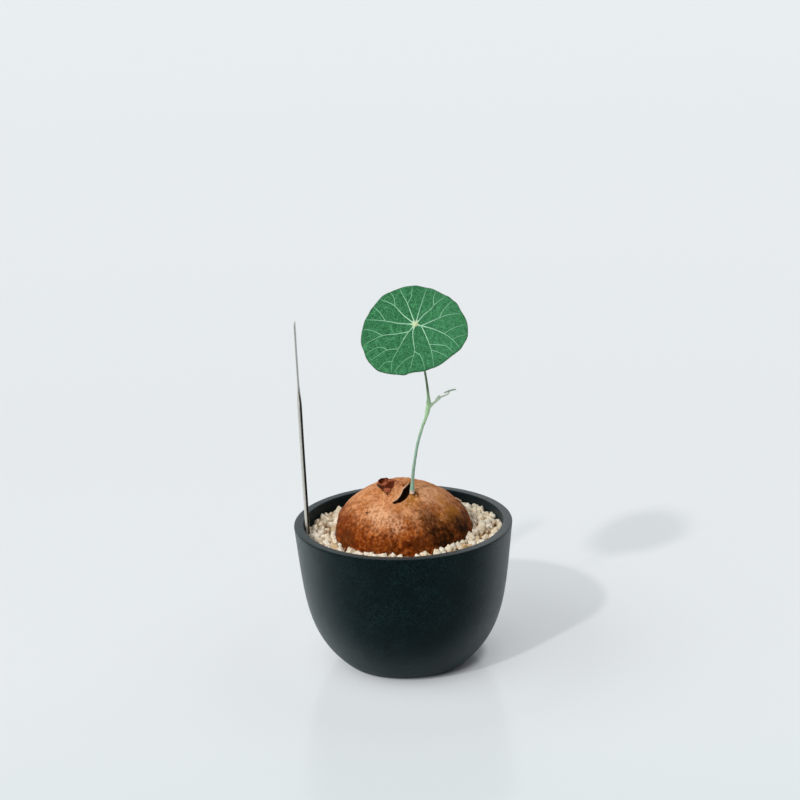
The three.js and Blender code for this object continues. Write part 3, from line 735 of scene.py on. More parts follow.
def cork_material(tuber):
    """Corky skin, paler on top with wear and painted light and rusty low down, with clouds, pits,
    patches, a painted highlight, and painted shade in the split, under the lifted bark and beside
    the stem.
    """
    material, tree, shader = new_material("Corky Skin", Specular_IOR_Level=0.02)
    place = in_millimetres(tree)
    upright = in_millimetres(tree, stretch=(1, 1, 0.6))
    height = parts_of(tree, place)["Z"]
    fine = fine_grain(tree, upright, 1.15, 0.65)
    streaks = fine_grain(tree, upright, 3.4, 0.62)
    broad = noise_mask(tree, place, 0.12, 0.38, 0.62)
    cloud = noise_mask(tree, place, 0.2, 0.47, 0.62, 5, 0.6)
    speckle = noise_mask(tree, place, 0.6, 0.49, 0.62, 4, 0.6)
    blotch = noise_mask(tree, place, 0.42, 0.42, 0.6, 5, 0.65)
    # Paler towards the top: wear of the cork together with painted light from above.
    worn_and_lit = product(tree, ranged(tree, height, 66, 80), ranged(tree, broad, 0, 1, 0.7, 1))
    low = product(
        tree, ranged(tree, height, 77, 66), ranged(tree, streaks["Mask"], 0.2, 0.8, 1, 0.6),
    )
    bloom = product(
        tree, ranged(tree, fine["Mask"], 0.62, 1, 0, 0.34), ranged(tree, height, 66, 79, 0.5, 1),
    )
    pitted = product(
        tree, ranged(tree, fine["Mask"], 0.42, 0, 0, 0.65), ranged(tree, broad, 0, 1, 1, 0.5),
        ranged(tree, height, 82, 70, 0.25, 1),
    )
    layers = [
        (worn_and_lit, tuber.worn_and_lit),
        (product(tree, cloud, 0.7), tuber.amber),
        (product(tree, speckle, 0.5), tuber.speckle),
        (low, tuber.rust),
        (ranged(tree, streaks["Mask"], 0.5, 0, 0, 0.5), tuber.rust),
        (bloom, tuber.bloom),
        (product(tree, blotch, ranged(tree, height, 83, 68, 0.12, 0.95)), tuber.dark_rust),
        (pitted, tuber.pit),
    ]
    for centre, radius in PALE_AND_HIGHLIGHT_PATCHES:
        grainy = ranged(tree, fine["Mask"], 0.1, 0.7, 0.1, 0.6)
        spot = ragged_spot(tree, place, centre, radius)
        layers.append((product(tree, spot, grainy), tuber.pale_and_highlight_patch))
    for patches, patch_colour in (
        (RUSTY_PATCHES, tuber.rusty_patch), (OCHRE_PATCHES, tuber.ochre_patch),
        (BROWN_PATCHES, tuber.brown_patch), (DARK_AND_SHADOW_PATCHES, tuber.char),
    ):
        for centre, radius, strength in patches:
            broken = ranged(tree, streaks["Mask"], 0.3, 1, strength, 0.45 * strength)
            spot = ragged_spot(tree, place, centre, radius)
            layers.append((product(tree, spot, broken), patch_colour))
    bark = mixed(
        tree, ranged(tree, streaks["Mask"], 0.35, 0.9), tuber.bark_dark, tuber.bark_light,
    )
    layers += [
        # Painted shade in the split, under the lifted bark, under the horn and beside the stem.
        (ranged(tree, attribute(tree, "crown_shade"), 0.1, 0.9), tuber.char),
        # Lifted bark's inner colour, with painted shade along the flap's fold.
        (attribute(tree, "peeled_and_shaded"), bark),
        (attribute(tree, "rim"), tuber.rim),
    ]
    drive(
        tree, shader, Base_Color=layered(tree, tuber.cork, *layers),
        Roughness=ranged(tree, fine["Mask"], 0, 1, 0.62, 0.42),
    )
    rough = computed(tree, "ADD", fine["Height"], product(tree, streaks["Height"], 0.9))
    bump(tree, shader, rough, 0.4 * MM)
    return material


def split_at(point):
    """How fully a point of the crown is inside the open split, and how deep the split is there."""
    away, t = beside(point, SPLIT)
    opening = math.sin(math.pi * t)
    width, depth = (0.2 + 1.5 * opening ** 0.8) * MM, (0.3 + 2.6 * opening) * MM
    return smoothstep(away, width, 0.55 * width), depth


def bumps_at(point):
    """The height of the crown's bumps at a point."""
    total = 0.0
    for centre, radius, height in BUMPS:
        off = (point.to_2d() - Vector(centre) * MM).length / (radius * MM)
        total += height * MM * math.exp(-(off ** 2))
    return total


def crown_shade_at(point):
    """How much painted shade the crown gets at a point: under the lifted bark's right edge, along
    the line under the horn and beside the stem.
    """
    under, t = beside(point, FLAP_RIGHT)
    taper = math.sqrt(math.sin(math.pi * clamp(t, 0.05, 0.95)))
    at_stem = (point.to_2d() - STEM_SOCKET).length
    right_of_stem = smoothstep(point.x, 3.9 * MM, 4.8 * MM)
    return max(
        smoothstep(under / taper, 1.2 * MM, 0.9 * MM),
        0.85 * smoothstep(beside(point, HORN_SHADOW_LINE)[0], 0.75 * MM, 0.35 * MM),
        smoothstep(at_stem, 1.9 * MM, 1.5 * MM) * right_of_stem,
    )


def shape_tuber(bm, tuber):
    """Lumps, fine relief, the split, the bumps and the stem's socket, all moved along the skin."""
    crown_shade = bm.verts.layers.float.new("crown_shade")
    middle = Vector((0, 0, tuber.widest))
    for vert in bm.verts:
        flat, heading = vert.co.to_2d().length, math.atan2(vert.co.y, vert.co.x)
        grown = flat + tuber_swell(heading, flat / tuber.radius) * clamp(flat / (2 * MM))
        vert.co.x, vert.co.y = grown * math.cos(heading), grown * math.sin(heading)
        point = vert.co.copy()
        vert.co += (point - middle).normalized() * skin_relief(point)
        if point.z > tuber.widest:
            groove, depth = split_at(point)
            at_stem = (point.to_2d() - STEM_SOCKET).length
            socket = 0.3 * MM * smoothstep(at_stem, 2.2 * MM, 1.3 * MM)
            vert.co.z += bumps_at(point) * (1 - groove) - depth * groove - socket
            # Painted shade in the open split, under the lifted bark, under the horn and beside the
            # stem.
            vert[crown_shade] = max(groove, crown_shade_at(point))


def add_roots(bm):
    """Five root ends that leave the underside and curve down."""
    count, reach, top, bottom = 5, 25 * MM, 41 * MM, 17 * MM
    thick, thin = 1.7 * MM, 0.5 * MM
    steps = [(0.3, 0), (0.55, 0.25), (0.85, 0.6), (1, 1)]  # shares of the way out and down
    for number in range(count):
        heading = math.radians(20) + math.tau * number / count
        points = [
            polar(reach * out, heading + math.radians(14) * down)
            + Vector((0, 0, lerp(top, bottom, down)))
            for out, down in steps
        ]
        tube(
            bm, smooth_path(points, 24), lambda t: [round_ended(lerp(thick, thin, t), t, 0.05)] * 2,
            12, polar(1, heading + math.pi / 2),
        )


def build_tuber(tuber):
    """The turned tuber, from its buried foot to its crown, then shaped and rooted."""
    rows = 150
    profile = []
    for i in range(rows + 1):
        angle = math.pi * i / rows
        reach = tuber.depth if angle < math.pi / 2 else tuber.crown
        z = tuber.widest - math.cos(angle) * reach
        profile.append((tuber_radius(tuber, z), z))
    bm = bmesh.new()
    lathe(bm, profile, 260)
    shape_tuber(bm, tuber)
    add_roots(bm)
    return finished(bm, "tuber_body", cork_material(tuber), "cork", "tuber")


# The lifted bark. A horn opens towards the stem: its middle line, the heading of its right side
# in degrees, its half width and height in mm, and how far it turns up at its left and right side,
# in degrees from straight down.
HORN = list(zip((0, 0.5, 1), in_metres([(-10.4, 2, 0), (-7.75, -3.2, 0), (-4.3, -7.5, 0)])))
HORN_HEADING = [(0, 33), (1, 62)]
HORN_WIDTH = [(0, 0.95), (0.2, 1.6), (0.5, 2.85), (0.8, 4.1), (1, 4.7)]
HORN_HEIGHT = [(0, 0.9), (0.2, 1.1), (0.5, 1.1), (0.8, 0.7), (1, 0.15)]
HORN_LEFT = [(0, -178), (0.2, -80), (0.5, -62), (0.8, -74), (1, -78)]
HORN_RIGHT = [(0, 180), (0.2, 125), (0.5, 98), (0.8, 88), (1, 80)]
# A pale flake on the right shoulder: its root and its tip, in plan.
FLAKE = in_metres([(22.3, 1.3, 0), (27, 3.6, 0)])


def shape_horn(verts, tuber, peeled_and_shaded):
    """Rolls a grid round the horn's middle line, closed at its tip and open at its mouth."""
    for vert in verts:
        turn, out = vert.co.x + 0.5, vert.co.y + 0.5
        wrinkle = relief(Vector((3.5 * out, 4 * turn, 7)), 0.6, 0.25 * MM)
        wrinkle *= smoothstep(out, 0, 0.3)
        width = along(HORN_WIDTH, out) * MM + wrinkle
        height = along(HORN_HEIGHT, out) * MM + 0.5 * wrinkle
        cap = math.sqrt(max(0.004, 1 - (1 - clamp(out / 0.1)) ** 2))
        angle = math.radians(lerp(along(HORN_LEFT, out), along(HORN_RIGHT, out), turn))
        right = polar(1, math.radians(along(HORN_HEADING, out)))
        place = along(HORN, out) + right * cap * width * math.sin(angle)
        lift = 0.25 * MM + height * (1 - cap * math.cos(angle))
        vert.co = Vector((place.x, place.y, crown_height(tuber, place.x, place.y) + lift))
        vert[peeled_and_shaded] = smoothstep(out + 0.2 * noise.noise(vert.co / (2 * MM)), 1.06, 0.98)


def shape_flap(verts, tuber, peeled_and_shaded, rim):
    """Lays a grid between the flap's edges, raised at the right and folded beside the horn."""
    steps = 96
    left, right = smooth_path(FLAP_LEFT, steps + 1), smooth_path(FLAP_RIGHT, steps + 1)
    pocket = Vector((-0.6, -4.4, 0)) * MM
    for vert in verts:
        across, down = vert.co.x + 0.5, 0.5 - vert.co.y
        place = left[round(down * steps)].lerp(right[round(down * steps)], across)
        rise = 0.5 * across ** 3 * math.sin(math.pi * clamp(down, 0.12, 1))
        rise -= 0.3 * (1 - across) ** 2
        turned = (place - pocket) / MM
        fold = math.hypot(turned.x + 0.7 * turned.y, 0.3 * (turned.y - 0.7 * turned.x))
        rise += 0.45 * math.exp(-((fold / 0.55) ** 2))
        rise += relief(Vector((4 * across, 3 * down, 0)), 0.5, 0.35) * (1 - down)
        height = crown_height(tuber, place.x, place.y) + (0.3 + rise) * MM
        vert.co = Vector((place.x, place.y, height))
        ragged = 0.5 * noise.noise(vert.co / (1.2 * MM))
        # The bark colour of the lifted bark also paints shade along the fold beside the horn.
        vert[peeled_and_shaded] = max(
            0.75 * smoothstep(math.exp(-(((fold - 0.8) / 0.5) ** 2)), 0.35, 0.9),
            0.9 * smoothstep(across / 0.38 + down / 0.4 + ragged, 1.15, 0.75),
            0.5 * smoothstep(across / 0.9 + down / 0.8 + ragged, 1.2, 0.6),
        )
        vert[rim] = smoothstep(across, 0.93, 0.98)


def shape_flake(verts, tuber, rim):
    """A small pale flake that stands off the right shoulder."""
    half_width, aside = 1.8 * MM, Vector((-0.4, 1, 0))
    for vert in verts:
        out, side = vert.co.x + 0.5, vert.co.y
        place = FLAKE[0].lerp(FLAKE[1], out) + aside * (1 - 0.6 * out) * side * half_width
        lift = (0.3 + 0.9 * out ** 2) * MM
        vert.co = Vector((place.x, place.y, crown_height(tuber, place.x, place.y) + lift))
        vert[rim] = 0.8 * smoothstep(out, 0.2, 0.7)


def build_bark_curl(tuber):
    """The lifted bark: a flap with a raised rim beside the stem, a rolled horn and a flake."""
    bm = bmesh.new()
    peeled_and_shaded = bm.verts.layers.float.new("peeled_and_shaded")
    rim = bm.verts.layers.float.new("rim")
    horn = bmesh.ops.create_grid(bm, x_segments=40, y_segments=40, size=0.5)["verts"]
    shape_horn(horn, tuber, peeled_and_shaded)
    flap = bmesh.ops.create_grid(bm, x_segments=48, y_segments=48, size=0.5)["verts"]
    shape_flap(flap, tuber, peeled_and_shaded, rim)
    flake = bmesh.ops.create_grid(bm, x_segments=12, y_segments=6, size=0.5)["verts"]
    shape_flake(flake, tuber, rim)
    piece = finished(bm, "bark_curl", bpy.data.materials["Corky Skin"], "cork", "tuber")
    thicken(piece, 0.4 * MM)
    return piece


def thicken(piece, thickness):
    """Gives a sheet its thickness, half of it on each side."""
    made = piece.modifiers.new("thickness", "SOLIDIFY")
    made.thickness, made.offset, made.use_even_offset = thickness, 0, True


# ---- Grit bed ----

MARKER_FOOT = Vector((-43.9, 1.5)) * MM  # where the marker's shaft meets the bed, in plan


def bed_level(bed, x, y):
    """The bed's height: a little tilted and uneven, and lower beside the wall."""
    heap = 0.35 * MM * math.sin(3 * math.atan2(y, x) + 1)
    sunk = 1.5 * MM * smoothstep(math.hypot(x, y), 34 * MM, 43.5 * MM)
    return bed.level + 0.019 * x + 0.01 * y + heap - sunk


def grit_material(bed):
    """Pale stone, each grain in its own tone, the lower grains darker with painted shade, with
    faint ochre stains.
    """
    material, tree, shader = new_material("Pale Grit", Specular_IOR_Level=0.35, Roughness=0.72)
    tints = colour_ramp(
        tree, attribute(tree, "tint_and_shade"), [(0, bed.ochre), (0.14, bed.tan), (0.85, bed.pale)],
    )
    fine = fine_grain(tree, in_millimetres(tree), 0.8, 0.6)
    stained = ranged(tree, fine["Mask"], 0.45, 0, 0, 0.5)
    drive(tree, shader, Base_Color=mixed(tree, stained, tints, bed.ochre))
    bump(tree, shader, fine["Height"], 0.25 * MM)
    return material


def plain_material(name, dark, light, size, contrast, roughness, depth):
    """A matt material in two colours, for pieces that are nearly or quite hidden."""
    material, tree, shader = new_material(name, Roughness=roughness)
    fine = fine_grain(tree, in_millimetres(tree), size, contrast)
    drive(tree, shader, Base_Color=mixed(tree, fine["Mask"], dark, light))
    bump(tree, shader, fine["Height"], depth * MM)
    return material


def build_bed(bed, pot, tuber):
    """The closed ring of packed grit that the top grains lie on, dark with painted shade for the
    gaps between them.
    """
    low, top = bed.bottom, bed.level - 0.9 * MM
    clear = 0.45 * MM  # from the pot's wall and from the turned form of the tuber
    bm = bmesh.new()
    profile = [
        (tuber_radius(tuber, low) + clear, low), (pot_inner_radius(pot, low) - clear, low),
        (pot_inner_radius(pot, top) - clear, top), (tuber_radius(tuber, top) + clear, top),
    ]
    lathe(bm, profile, 120, closed=True)
    for vert in bm.verts:
        heading = math.atan2(vert.co.y, vert.co.x)
        if vert.co.z > low + MM:
            vert.co.z += bed_level(bed, vert.co.x, vert.co.y) - bed.level
        if vert.co.to_2d().length < tuber.radius + 2 * MM:
            vert.co += polar(tuber_swell(heading, 1) + 0.2 * MM, heading)
    # The under layer is dark: painted shade in the gaps between the grains.
    material = plain_material("Grit Under Layer", bed.shade, bed.ochre, 1.2, 0.8, 0.9, 0.6)
    return finished(bm, "grit_bed", material, "grit", "gravel")


def grain_places(bed, pot, tuber, draw):
    """Jittered rings of grains in two layers, clear of the marker's shaft, each with its depth."""
    filled = (0.86, 0.6)  # the shares of the upper and the lower layer's places
    for depth in (1, 0):
        radius = tuber.radius + 0.85 * bed.grain
        while radius < pot_inner_radius(pot, bed.level) - 0.4 * bed.grain:
            count = round(math.tau * radius / bed.pitch)
            start = draw.random()
            for i in range(count):
                heading = math.tau * (i + start + 0.6 * draw.random()) / count
                place = polar(radius + 0.6 * (draw.random() - 0.5) * bed.pitch, heading)
                lift = bed.grain * (0.7 * (draw.random() - 0.5) - 0.8 * depth)
                at_marker = (place.to_2d() - MARKER_FOOT).length
                if at_marker > 1.9 * MM and draw.random() < filled[depth]:
                    place.z = bed_level(bed, place.x, place.y) + lift
                    yield place, depth
            radius += 0.92 * bed.pitch


def build_grains(bed, pot, tuber):
    """The loose grains: rounded blocks of one pattern, each with its own size, dents and tone, the
    lower layer darker with painted shade.
    """
    draw = random.Random(bed.seed)
    bm = bmesh.new()
    tint_and_shade = bm.verts.layers.float.new("tint_and_shade")
    bmesh.ops.create_cube(bm, size=2)
    bmesh.ops.subdivide_edges(bm, edges=bm.edges, cuts=2, use_grid_fill=True)
    size_of_one = len(bm.verts)
    places = list(grain_places(bed, pot, tuber, draw))
    while len(bm.verts) < size_of_one * len(places):
        bmesh.ops.duplicate(bm, geom=bm.verts[:] + bm.edges[:] + bm.faces[:])
    verts = bm.verts[:]
    for number, (place, depth) in enumerate(places):
        size = bed.grain * lerp(0.6, 1.25, draw.random())
        stretch = Vector([size * lerp(0.7, 1.1, draw.random()) for _ in range(3)])
        turn = math.tau * draw.random()
        turn = Matrix.Rotation(turn, 3, Vector([draw.gauss(0, 1) for _ in range(3)]))
        # The lower layer's grains get painted shade.
        shade = draw.random() * lerp(1, 0.2, depth)
        offset = Vector([40 * draw.random() for _ in range(3)])
        for vert in verts[size_of_one * number:size_of_one * (number + 1)]:
            ball = vert.co.normalized()
            corner = ball * lerp(1.0, vert.co.length / 1.3, 0.7)
            dented = corner * (1 + 0.42 * noise.noise(ball * 1.2 + offset))
            point = place + turn @ Vector([d * s for d, s in zip(dented, stretch)])
            vert.co = held_between(point, pot, tuber)
            vert[tint_and_shade] = shade
    bmesh.ops.delete(bm, geom=verts[size_of_one * len(places):], context="VERTS")
    return finished(bm, "grit_grains", grit_material(bed), "grit", "gravel")


def held_between(point, pot, tuber):
    """A point moved in or out so that it is clear of the tuber and of the pot's wall."""
    flat, heading = point.to_2d().length, math.atan2(point.y, point.x)
    smooth = tuber_radius(tuber, point.z)
    clear = 0.25 * MM
    least = smooth + tuber_swell(heading, smooth / tuber.radius) + clear
    held = clamp(flat, least, pot_inner_radius(pot, point.z) - clear)
    return Vector((point.x * held / flat, point.y * held / flat, point.z))


# ---- Stem, stalk and side shoot ----

# Middle lines of the stem and the stalk, and their radii in mm at shares of their length.
STEM_PATH = in_metres([
    (4.1, -9.6, 79.6), (4.3, -9.9, 82.5), (4.5, -10, 85), (5.2, -9.6, 93.6), (6.2, -9.2, 99.8),
    (7.6, -8.8, 106.8), (10, -8, 114.5), (11.7, -7.6, 118.9), (12.8, -7, 123.7), (12.9, -7, 127.6),
])
STEM_RADII = [
    (0, 0.9), (0.08, 1.15), (0.13, 1.05), (0.2, 0.74), (0.6, 0.62),
    (0.8, 0.72), (0.9, 1.1), (0.95, 1.05), (1, 0.72),
]
STALK_PATH = in_metres([
    (12.9, -7, 127.7), (12.3, -7.2, 134.3), (11.4, -7.7, 141), (9.9, -8.6, 151),
])
STALK_RADII = [(0, 0.7), (0.06, 0.62), (0.2, 0.5), (0.8, 0.45), (1, 0.62)]


def skin_material(name, stem, colours, low, high, roughness, size=0.5):
    """A living skin whose colours follow one another up the piece, with fine grain over them."""
    material, tree, shader = new_material(name, Specular_IOR_Level=0.4, Roughness=roughness)
    height = parts_of(tree, in_millimetres(tree))["Z"]
    growth = colour_ramp(tree, ranged(tree, height, low, high, shape="LINEAR"), colours)
    fine = fine_grain(tree, in_millimetres(tree, stretch=(1, 1, 0.25)), size, 0.5)
    flecks = ranged(tree, fine["Mask"], 0.6, 0, 0, 0.35)
    drive(tree, shader, Base_Color=mixed(tree, flecks, growth, stem.fleck))
    bump(tree, shader, fine["Height"], 0.12 * MM)
    return material


def limb(bm, path, count, radii, sides):
    """A round tube along a path, its radius in mm given by (share, radius) pairs."""
    tube(bm, smooth_path(path, count), lambda t: [along(radii, t) * MM] * 2, sides)


def build_stem(stem):
    """The slender stem, knotty and swollen at its foot and at its upper joint."""
    colours = [
        (0, stem.collar), (0.125, stem.collar), (0.15, stem.bark), (0.6, stem.bark),
        (0.85, stem.fresh),
    ]
    material = skin_material("Stem Bark", stem, colours, 78, 128, 0.5)
    bm = bmesh.new()

    def width(t):
        radius = along(STEM_RADII, t) * MM
        knots = 1 + 0.03 * math.sin(60 * t) + 0.03 * math.sin(23 * t + 1)
        return [radius * knots] * 2

    tube(bm, smooth_path(STEM_PATH, 110), width, 24)
    return finished(bm, "stem_body", material, "stem_bark", "stem")


def build_stalk(stem, leaf):
    """The leaf's stalk, from the stem's joint to the cushion under the hub."""
    hub = leaf_point(leaf, 0, 0, -CUSHION[2])
    colours = [(0, stem.fresh), (0.15, stem.stalk), (0.9, stem.stalk), (1, stem.bark)]
    material = skin_material("Leaf Stalk", stem, colours, 127, 162, 0.42)
    bm = bmesh.new()
    limb(bm, [*STALK_PATH, hub], 90, STALK_RADII, 20)
    return finished(bm, "leaf_stalk", material, "stalk", "petiole")


def build_shoot(stem):
    """The side shoot with its knuckle, and the small bract on it."""
    colours = [(0, stem.fresh), (0.35, stem.tip), (1, stem.tip)]
    material = skin_material("Fresh Shoot", stem, colours, 123, 132, 0.45, size=0.4)
    bm = bmesh.new()
    shoot = in_metres([
        (13.5, -7.05, 123.5), (14.4, -7.1, 124.3), (15.9, -7.5, 125.6), (17, -8, 127),
        (18.2, -8.4, 127.8), (19.4, -8.8, 128.5), (21.1, -9.4, 129.3), (21.9, -9.75, 130.1),
        (22.1, -9.9, 130.9),
    ])
    radii = [(0, 0.9), (0.12, 0.62), (0.25, 0.5), (0.4, 0.85), (0.5, 0.68), (0.56, 0.36), (1, 0.28)]
    limb(bm, shoot, 70, radii, 18)
    bract = in_metres([(16.6, -7.7, 126.8), (17.3, -8, 128), (18.1, -8.5, 128.8)])
    tube(
        bm, smooth_path(bract, 24),
        lambda t: [round_ended(lerp(0.55, 0.26, t) * MM, t, 0.2)] * 2, 14,
    )
    return finished(bm, "side_shoot_body", material, "shoot", "side_shoot")


# ---- Leaf ----

HUB = Vector((7.9, -11.9, 162.6)) * MM
CUSHION = (1.45 * MM, 1.3 * MM, 0.85 * MM)  # half sizes of the swelling at the hub
LEAF_MAP = 60 * MM  # the width that the blade's UV map covers
# Waves of the leaf's outline and of its surface: count round the edge, height in mm and the
# heading of a peak in degrees.
LOBES = [(1, 2.79, -110), (2, 0.6, 75), (3, 1, -26), (4, 0.4, -88), (7, 0.2, -99)]
EDGE_WAVES = [(11, 0.1, 60), (17, 0.09, 150), (23, 0.05, 20)]
WAVES = [(3, 0.45, 40), (5, 0.4, 200)]
# The ribs and their branches, in mm in the leaf's own plane from the hub.
RIBS = [
    [(-0.3, 0.6), (-3, 7.2), (-4.6, 11), (-6.8, 14.9), (-8.4, 17.9)],
    [(-4.4, 10.6), (-3.1, 14.4), (-3.2, 18.4)],
    [(0.2, 0.7), (1.2, 7.3), (2, 12), (3.2, 19.2)],
    [(0.5, 0.6), (3.5, 5.1), (6.2, 7.9), (8.1, 10.9), (12, 14.9)],
    [(7.5, 10), (6.8, 13.6), (7.2, 16.4)],
    [(0.6, -0.2), (2.9, -0.8)],
    [(2.7, -0.7), (7, 1.6), (13.5, 4.8), (19.5, 6.2)],
    [(10.4, 3.3), (11.5, 6.8), (13.6, 9.9)],
    [(2.7, -0.7), (7.7, -2.2), (13.3, -4.8), (17.1, -7.6), (20.3, -11.2)],
    [(13, -4.7), (16.9, -1.7), (21.7, 0.6)],
    [(16.8, -7.4), (19.4, -5.9), (21.3, -5.1)],
    [(2.7, -0.8), (4.7, -4.7), (8.2, -13.2), (9.8, -20.6)],
    [(7, -10.2), (10.6, -10.3), (14.4, -10.8), (16.8, -12.9)],
    [(8.2, -13), (10.9, -13.7), (15.6, -16)],
    [(-0.2, -0.7), (-0.7, -4.4), (0.9, -14.2), (0.4, -18), (-0.3, -23.3)],
    [(0.8, -13.9), (3.4, -15.7), (5, -18.9), (6, -22.3)],
    [(0.7, -16), (-2.7, -18.4), (-4.8, -20.9), (-6.6, -24)],
    [(-0.4, -0.6), (-3.1, -4.9), (-6.4, -13.1), (-8.5, -19.7), (-8.3, -24.6)],
    [(-6.3, -12.8), (-11.4, -13.4), (-14.9, -15.9), (-18.3, -18.4)],
    [(-11.2, -13.4), (-13.4, -12.1), (-16.2, -12.2), (-18.9, -13.7)],
    [(-8.3, -19.2), (-11.2, -19.5), (-13.5, -22.2)],
    [(-2.6, -3.9), (-8.2, -5.2), (-13.9, -6), (-22.4, -10.5)],
    [(-13.7, -6), (-19.5, -3.2), (-22.6, -2.5)],
    [(-0.6, 0), (-8, 0.4), (-12.2, 1.3), (-20.9, 2.3)],
    [(-13.4, 1.4), (-16.4, 6), (-18.8, 8.6)],
    [(-0.5, 0.4), (-5.8, 4.7), (-10.3, 9.6), (-16.4, 12.9)],
    [(-9.8, 9.2), (-10.9, 13.8), (-12.3, 16)],
]


def leaf_axes(leaf):
    """The leaf's right, up and facing directions."""
    flat, rise = math.cos(leaf.lean), math.sin(leaf.lean)
    facing = Vector((flat * math.sin(leaf.turn), -flat * math.cos(leaf.turn), rise))
    right = Vector((0, 0, 1)).cross(facing).normalized()
    return right, facing.cross(right), facing


def sum_of_waves(waves, heading):
    """The height at a heading of waves that run round the leaf."""
    return sum(
        height * MM * math.cos(count * heading - math.radians(peak))
        for count, height, peak in waves
    )


def leaf_edge(leaf, heading):
    """The blade's radius: its lobes, its fine waves, and the small step in its lower edge."""
    past = (math.degrees(heading) + 92.9) / 1.4
    step = -0.42 * MM * past / math.hypot(1, past) * math.exp(-((past / 6) ** 2))
    return leaf.radius + sum_of_waves(LOBES + EDGE_WAVES, heading) + step


def leaf_point(leaf, u, v, w=0.0):
    """A point of the leaf: u and v in its own plane from the hub, and w off its middle surface."""
    heading = math.atan2(v, u)
    out = math.hypot(u, v) / leaf_edge(leaf, heading)
    rise = (0.7 * out ** 2 - 1.5 * out ** 4) * MM + out ** 3 * sum_of_waves(WAVES, heading)
    right, up, facing = leaf_axes(leaf)
    return HUB + right * u + up * v + facing * (rise + w)


def rib_routes(leaf):
    """Each rib as a smooth route in the leaf's plane, in metres, run out to near the edge."""
    routes = []
    for rib in RIBS:
        points = [Vector((u, v, 0)) * MM for u, v in rib]
        run = (points[-1] - points[-2]).normalized()
        for _ in range(60):
            ahead = points[-1] + run * 0.1 * MM
            if not 0.7 < ahead.length / leaf_edge(leaf, math.atan2(ahead.y, ahead.x)) < 0.975:
                break
            points[-1] = ahead
        reach = sum((q - p).length for p, q in zip(points, points[1:]))
        routes.append(smooth_path(points, max(6, round(reach / (0.6 * MM)))))
    return routes


def net_of_cells(tree, place, scale, low, high, strength):
    """The borders between irregular cells, as wide as low and high say."""
    away = add(
        tree, "ShaderNodeTexVoronoi", {"Vector": place, "Scale": scale}, feature="DISTANCE_TO_EDGE",
    ).outputs["Distance"]
    return ranged(tree, away, low, high, 0, strength)


def blade_material(leaf):
    """The blade's green, lighter to the right, with a fine net, a dark edge and a pale back."""
    material, tree, shader = new_material("Leaf Blade", Specular_IOR_Level=0.13)
    side = LEAF_MAP / MM
    place = add(tree, "ShaderNodeMapping", {
        "Vector": add(tree, "ShaderNodeUVMap", uv_map="leaf_plane").outputs[0],
        "Location": (-side / 2, -side / 2, 0), "Scale": (side,) * 3,
    }).outputs[0]
    wobble = add(
        tree, "ShaderNodeTexNoise", {"Vector": place, "Scale": 0.6, "Detail": 2.0},
    ).outputs[1]
    drift = vector_math(tree, "SUBTRACT", wobble, (0.5,) * 3)
    bent = vector_math(tree, "ADD", place, vector_math(tree, "MULTIPLY", drift, (1.6,) * 3))
    net = computed(
        tree, "MAXIMUM", net_of_cells(tree, bent, 0.38, 0.06, 0.01, 0.75),
        net_of_cells(tree, bent, 1.5, 0.18, 0.02, 0.62),
    )
    mottle = noise_mask(tree, place, 0.35, 0.35, 0.7)
    across = parts_of(tree, place)["X"]
    lighter = product(tree, ranged(tree, across, -12, 20), ranged(tree, mottle, 0, 1, 0.4, 0.85))
    rim = ranged(tree, attribute(tree, "out"), 0.985, 0.998, 0, 0.55)
    normal = add(tree, "ShaderNodeNewGeometry").outputs["Normal"]
    front = vector_math(tree, "DOT_PRODUCT", normal, leaf_axes(leaf)[2], "Value")
    green = layered(
        tree, leaf.green, (lighter, leaf.light), (net, leaf.net), (rim, leaf.edge),
        (ranged(tree, front, 0.1, -0.3), leaf.under),
    )
    drive(tree, shader, Base_Color=green, Roughness=ranged(tree, mottle, 0, 1, 0.4, 0.52))
    bump(tree, shader, net, 0.12 * MM)
    return material


def vein_material(leaf):
    """Pale veins that fade towards the edge, whitish at the hub."""
    material, tree, shader = new_material("Leaf Veins", Specular_IOR_Level=0.35, Roughness=0.45)
    reach = attribute(tree, "reach")
    fine = fine_grain(tree, in_millimetres(tree), 0.5, 0.4)
    paint = layered(
        tree, leaf.vein, (ranged(tree, reach, 0.05, 0.95), leaf.faint),
        (ranged(tree, fine["Mask"], 0.5, 0, 0, 0.25), leaf.light),
        (ranged(tree, reach, 0.11, 0.04), leaf.hub),
    )
    drive(tree, shader, Base_Color=paint)
    return material


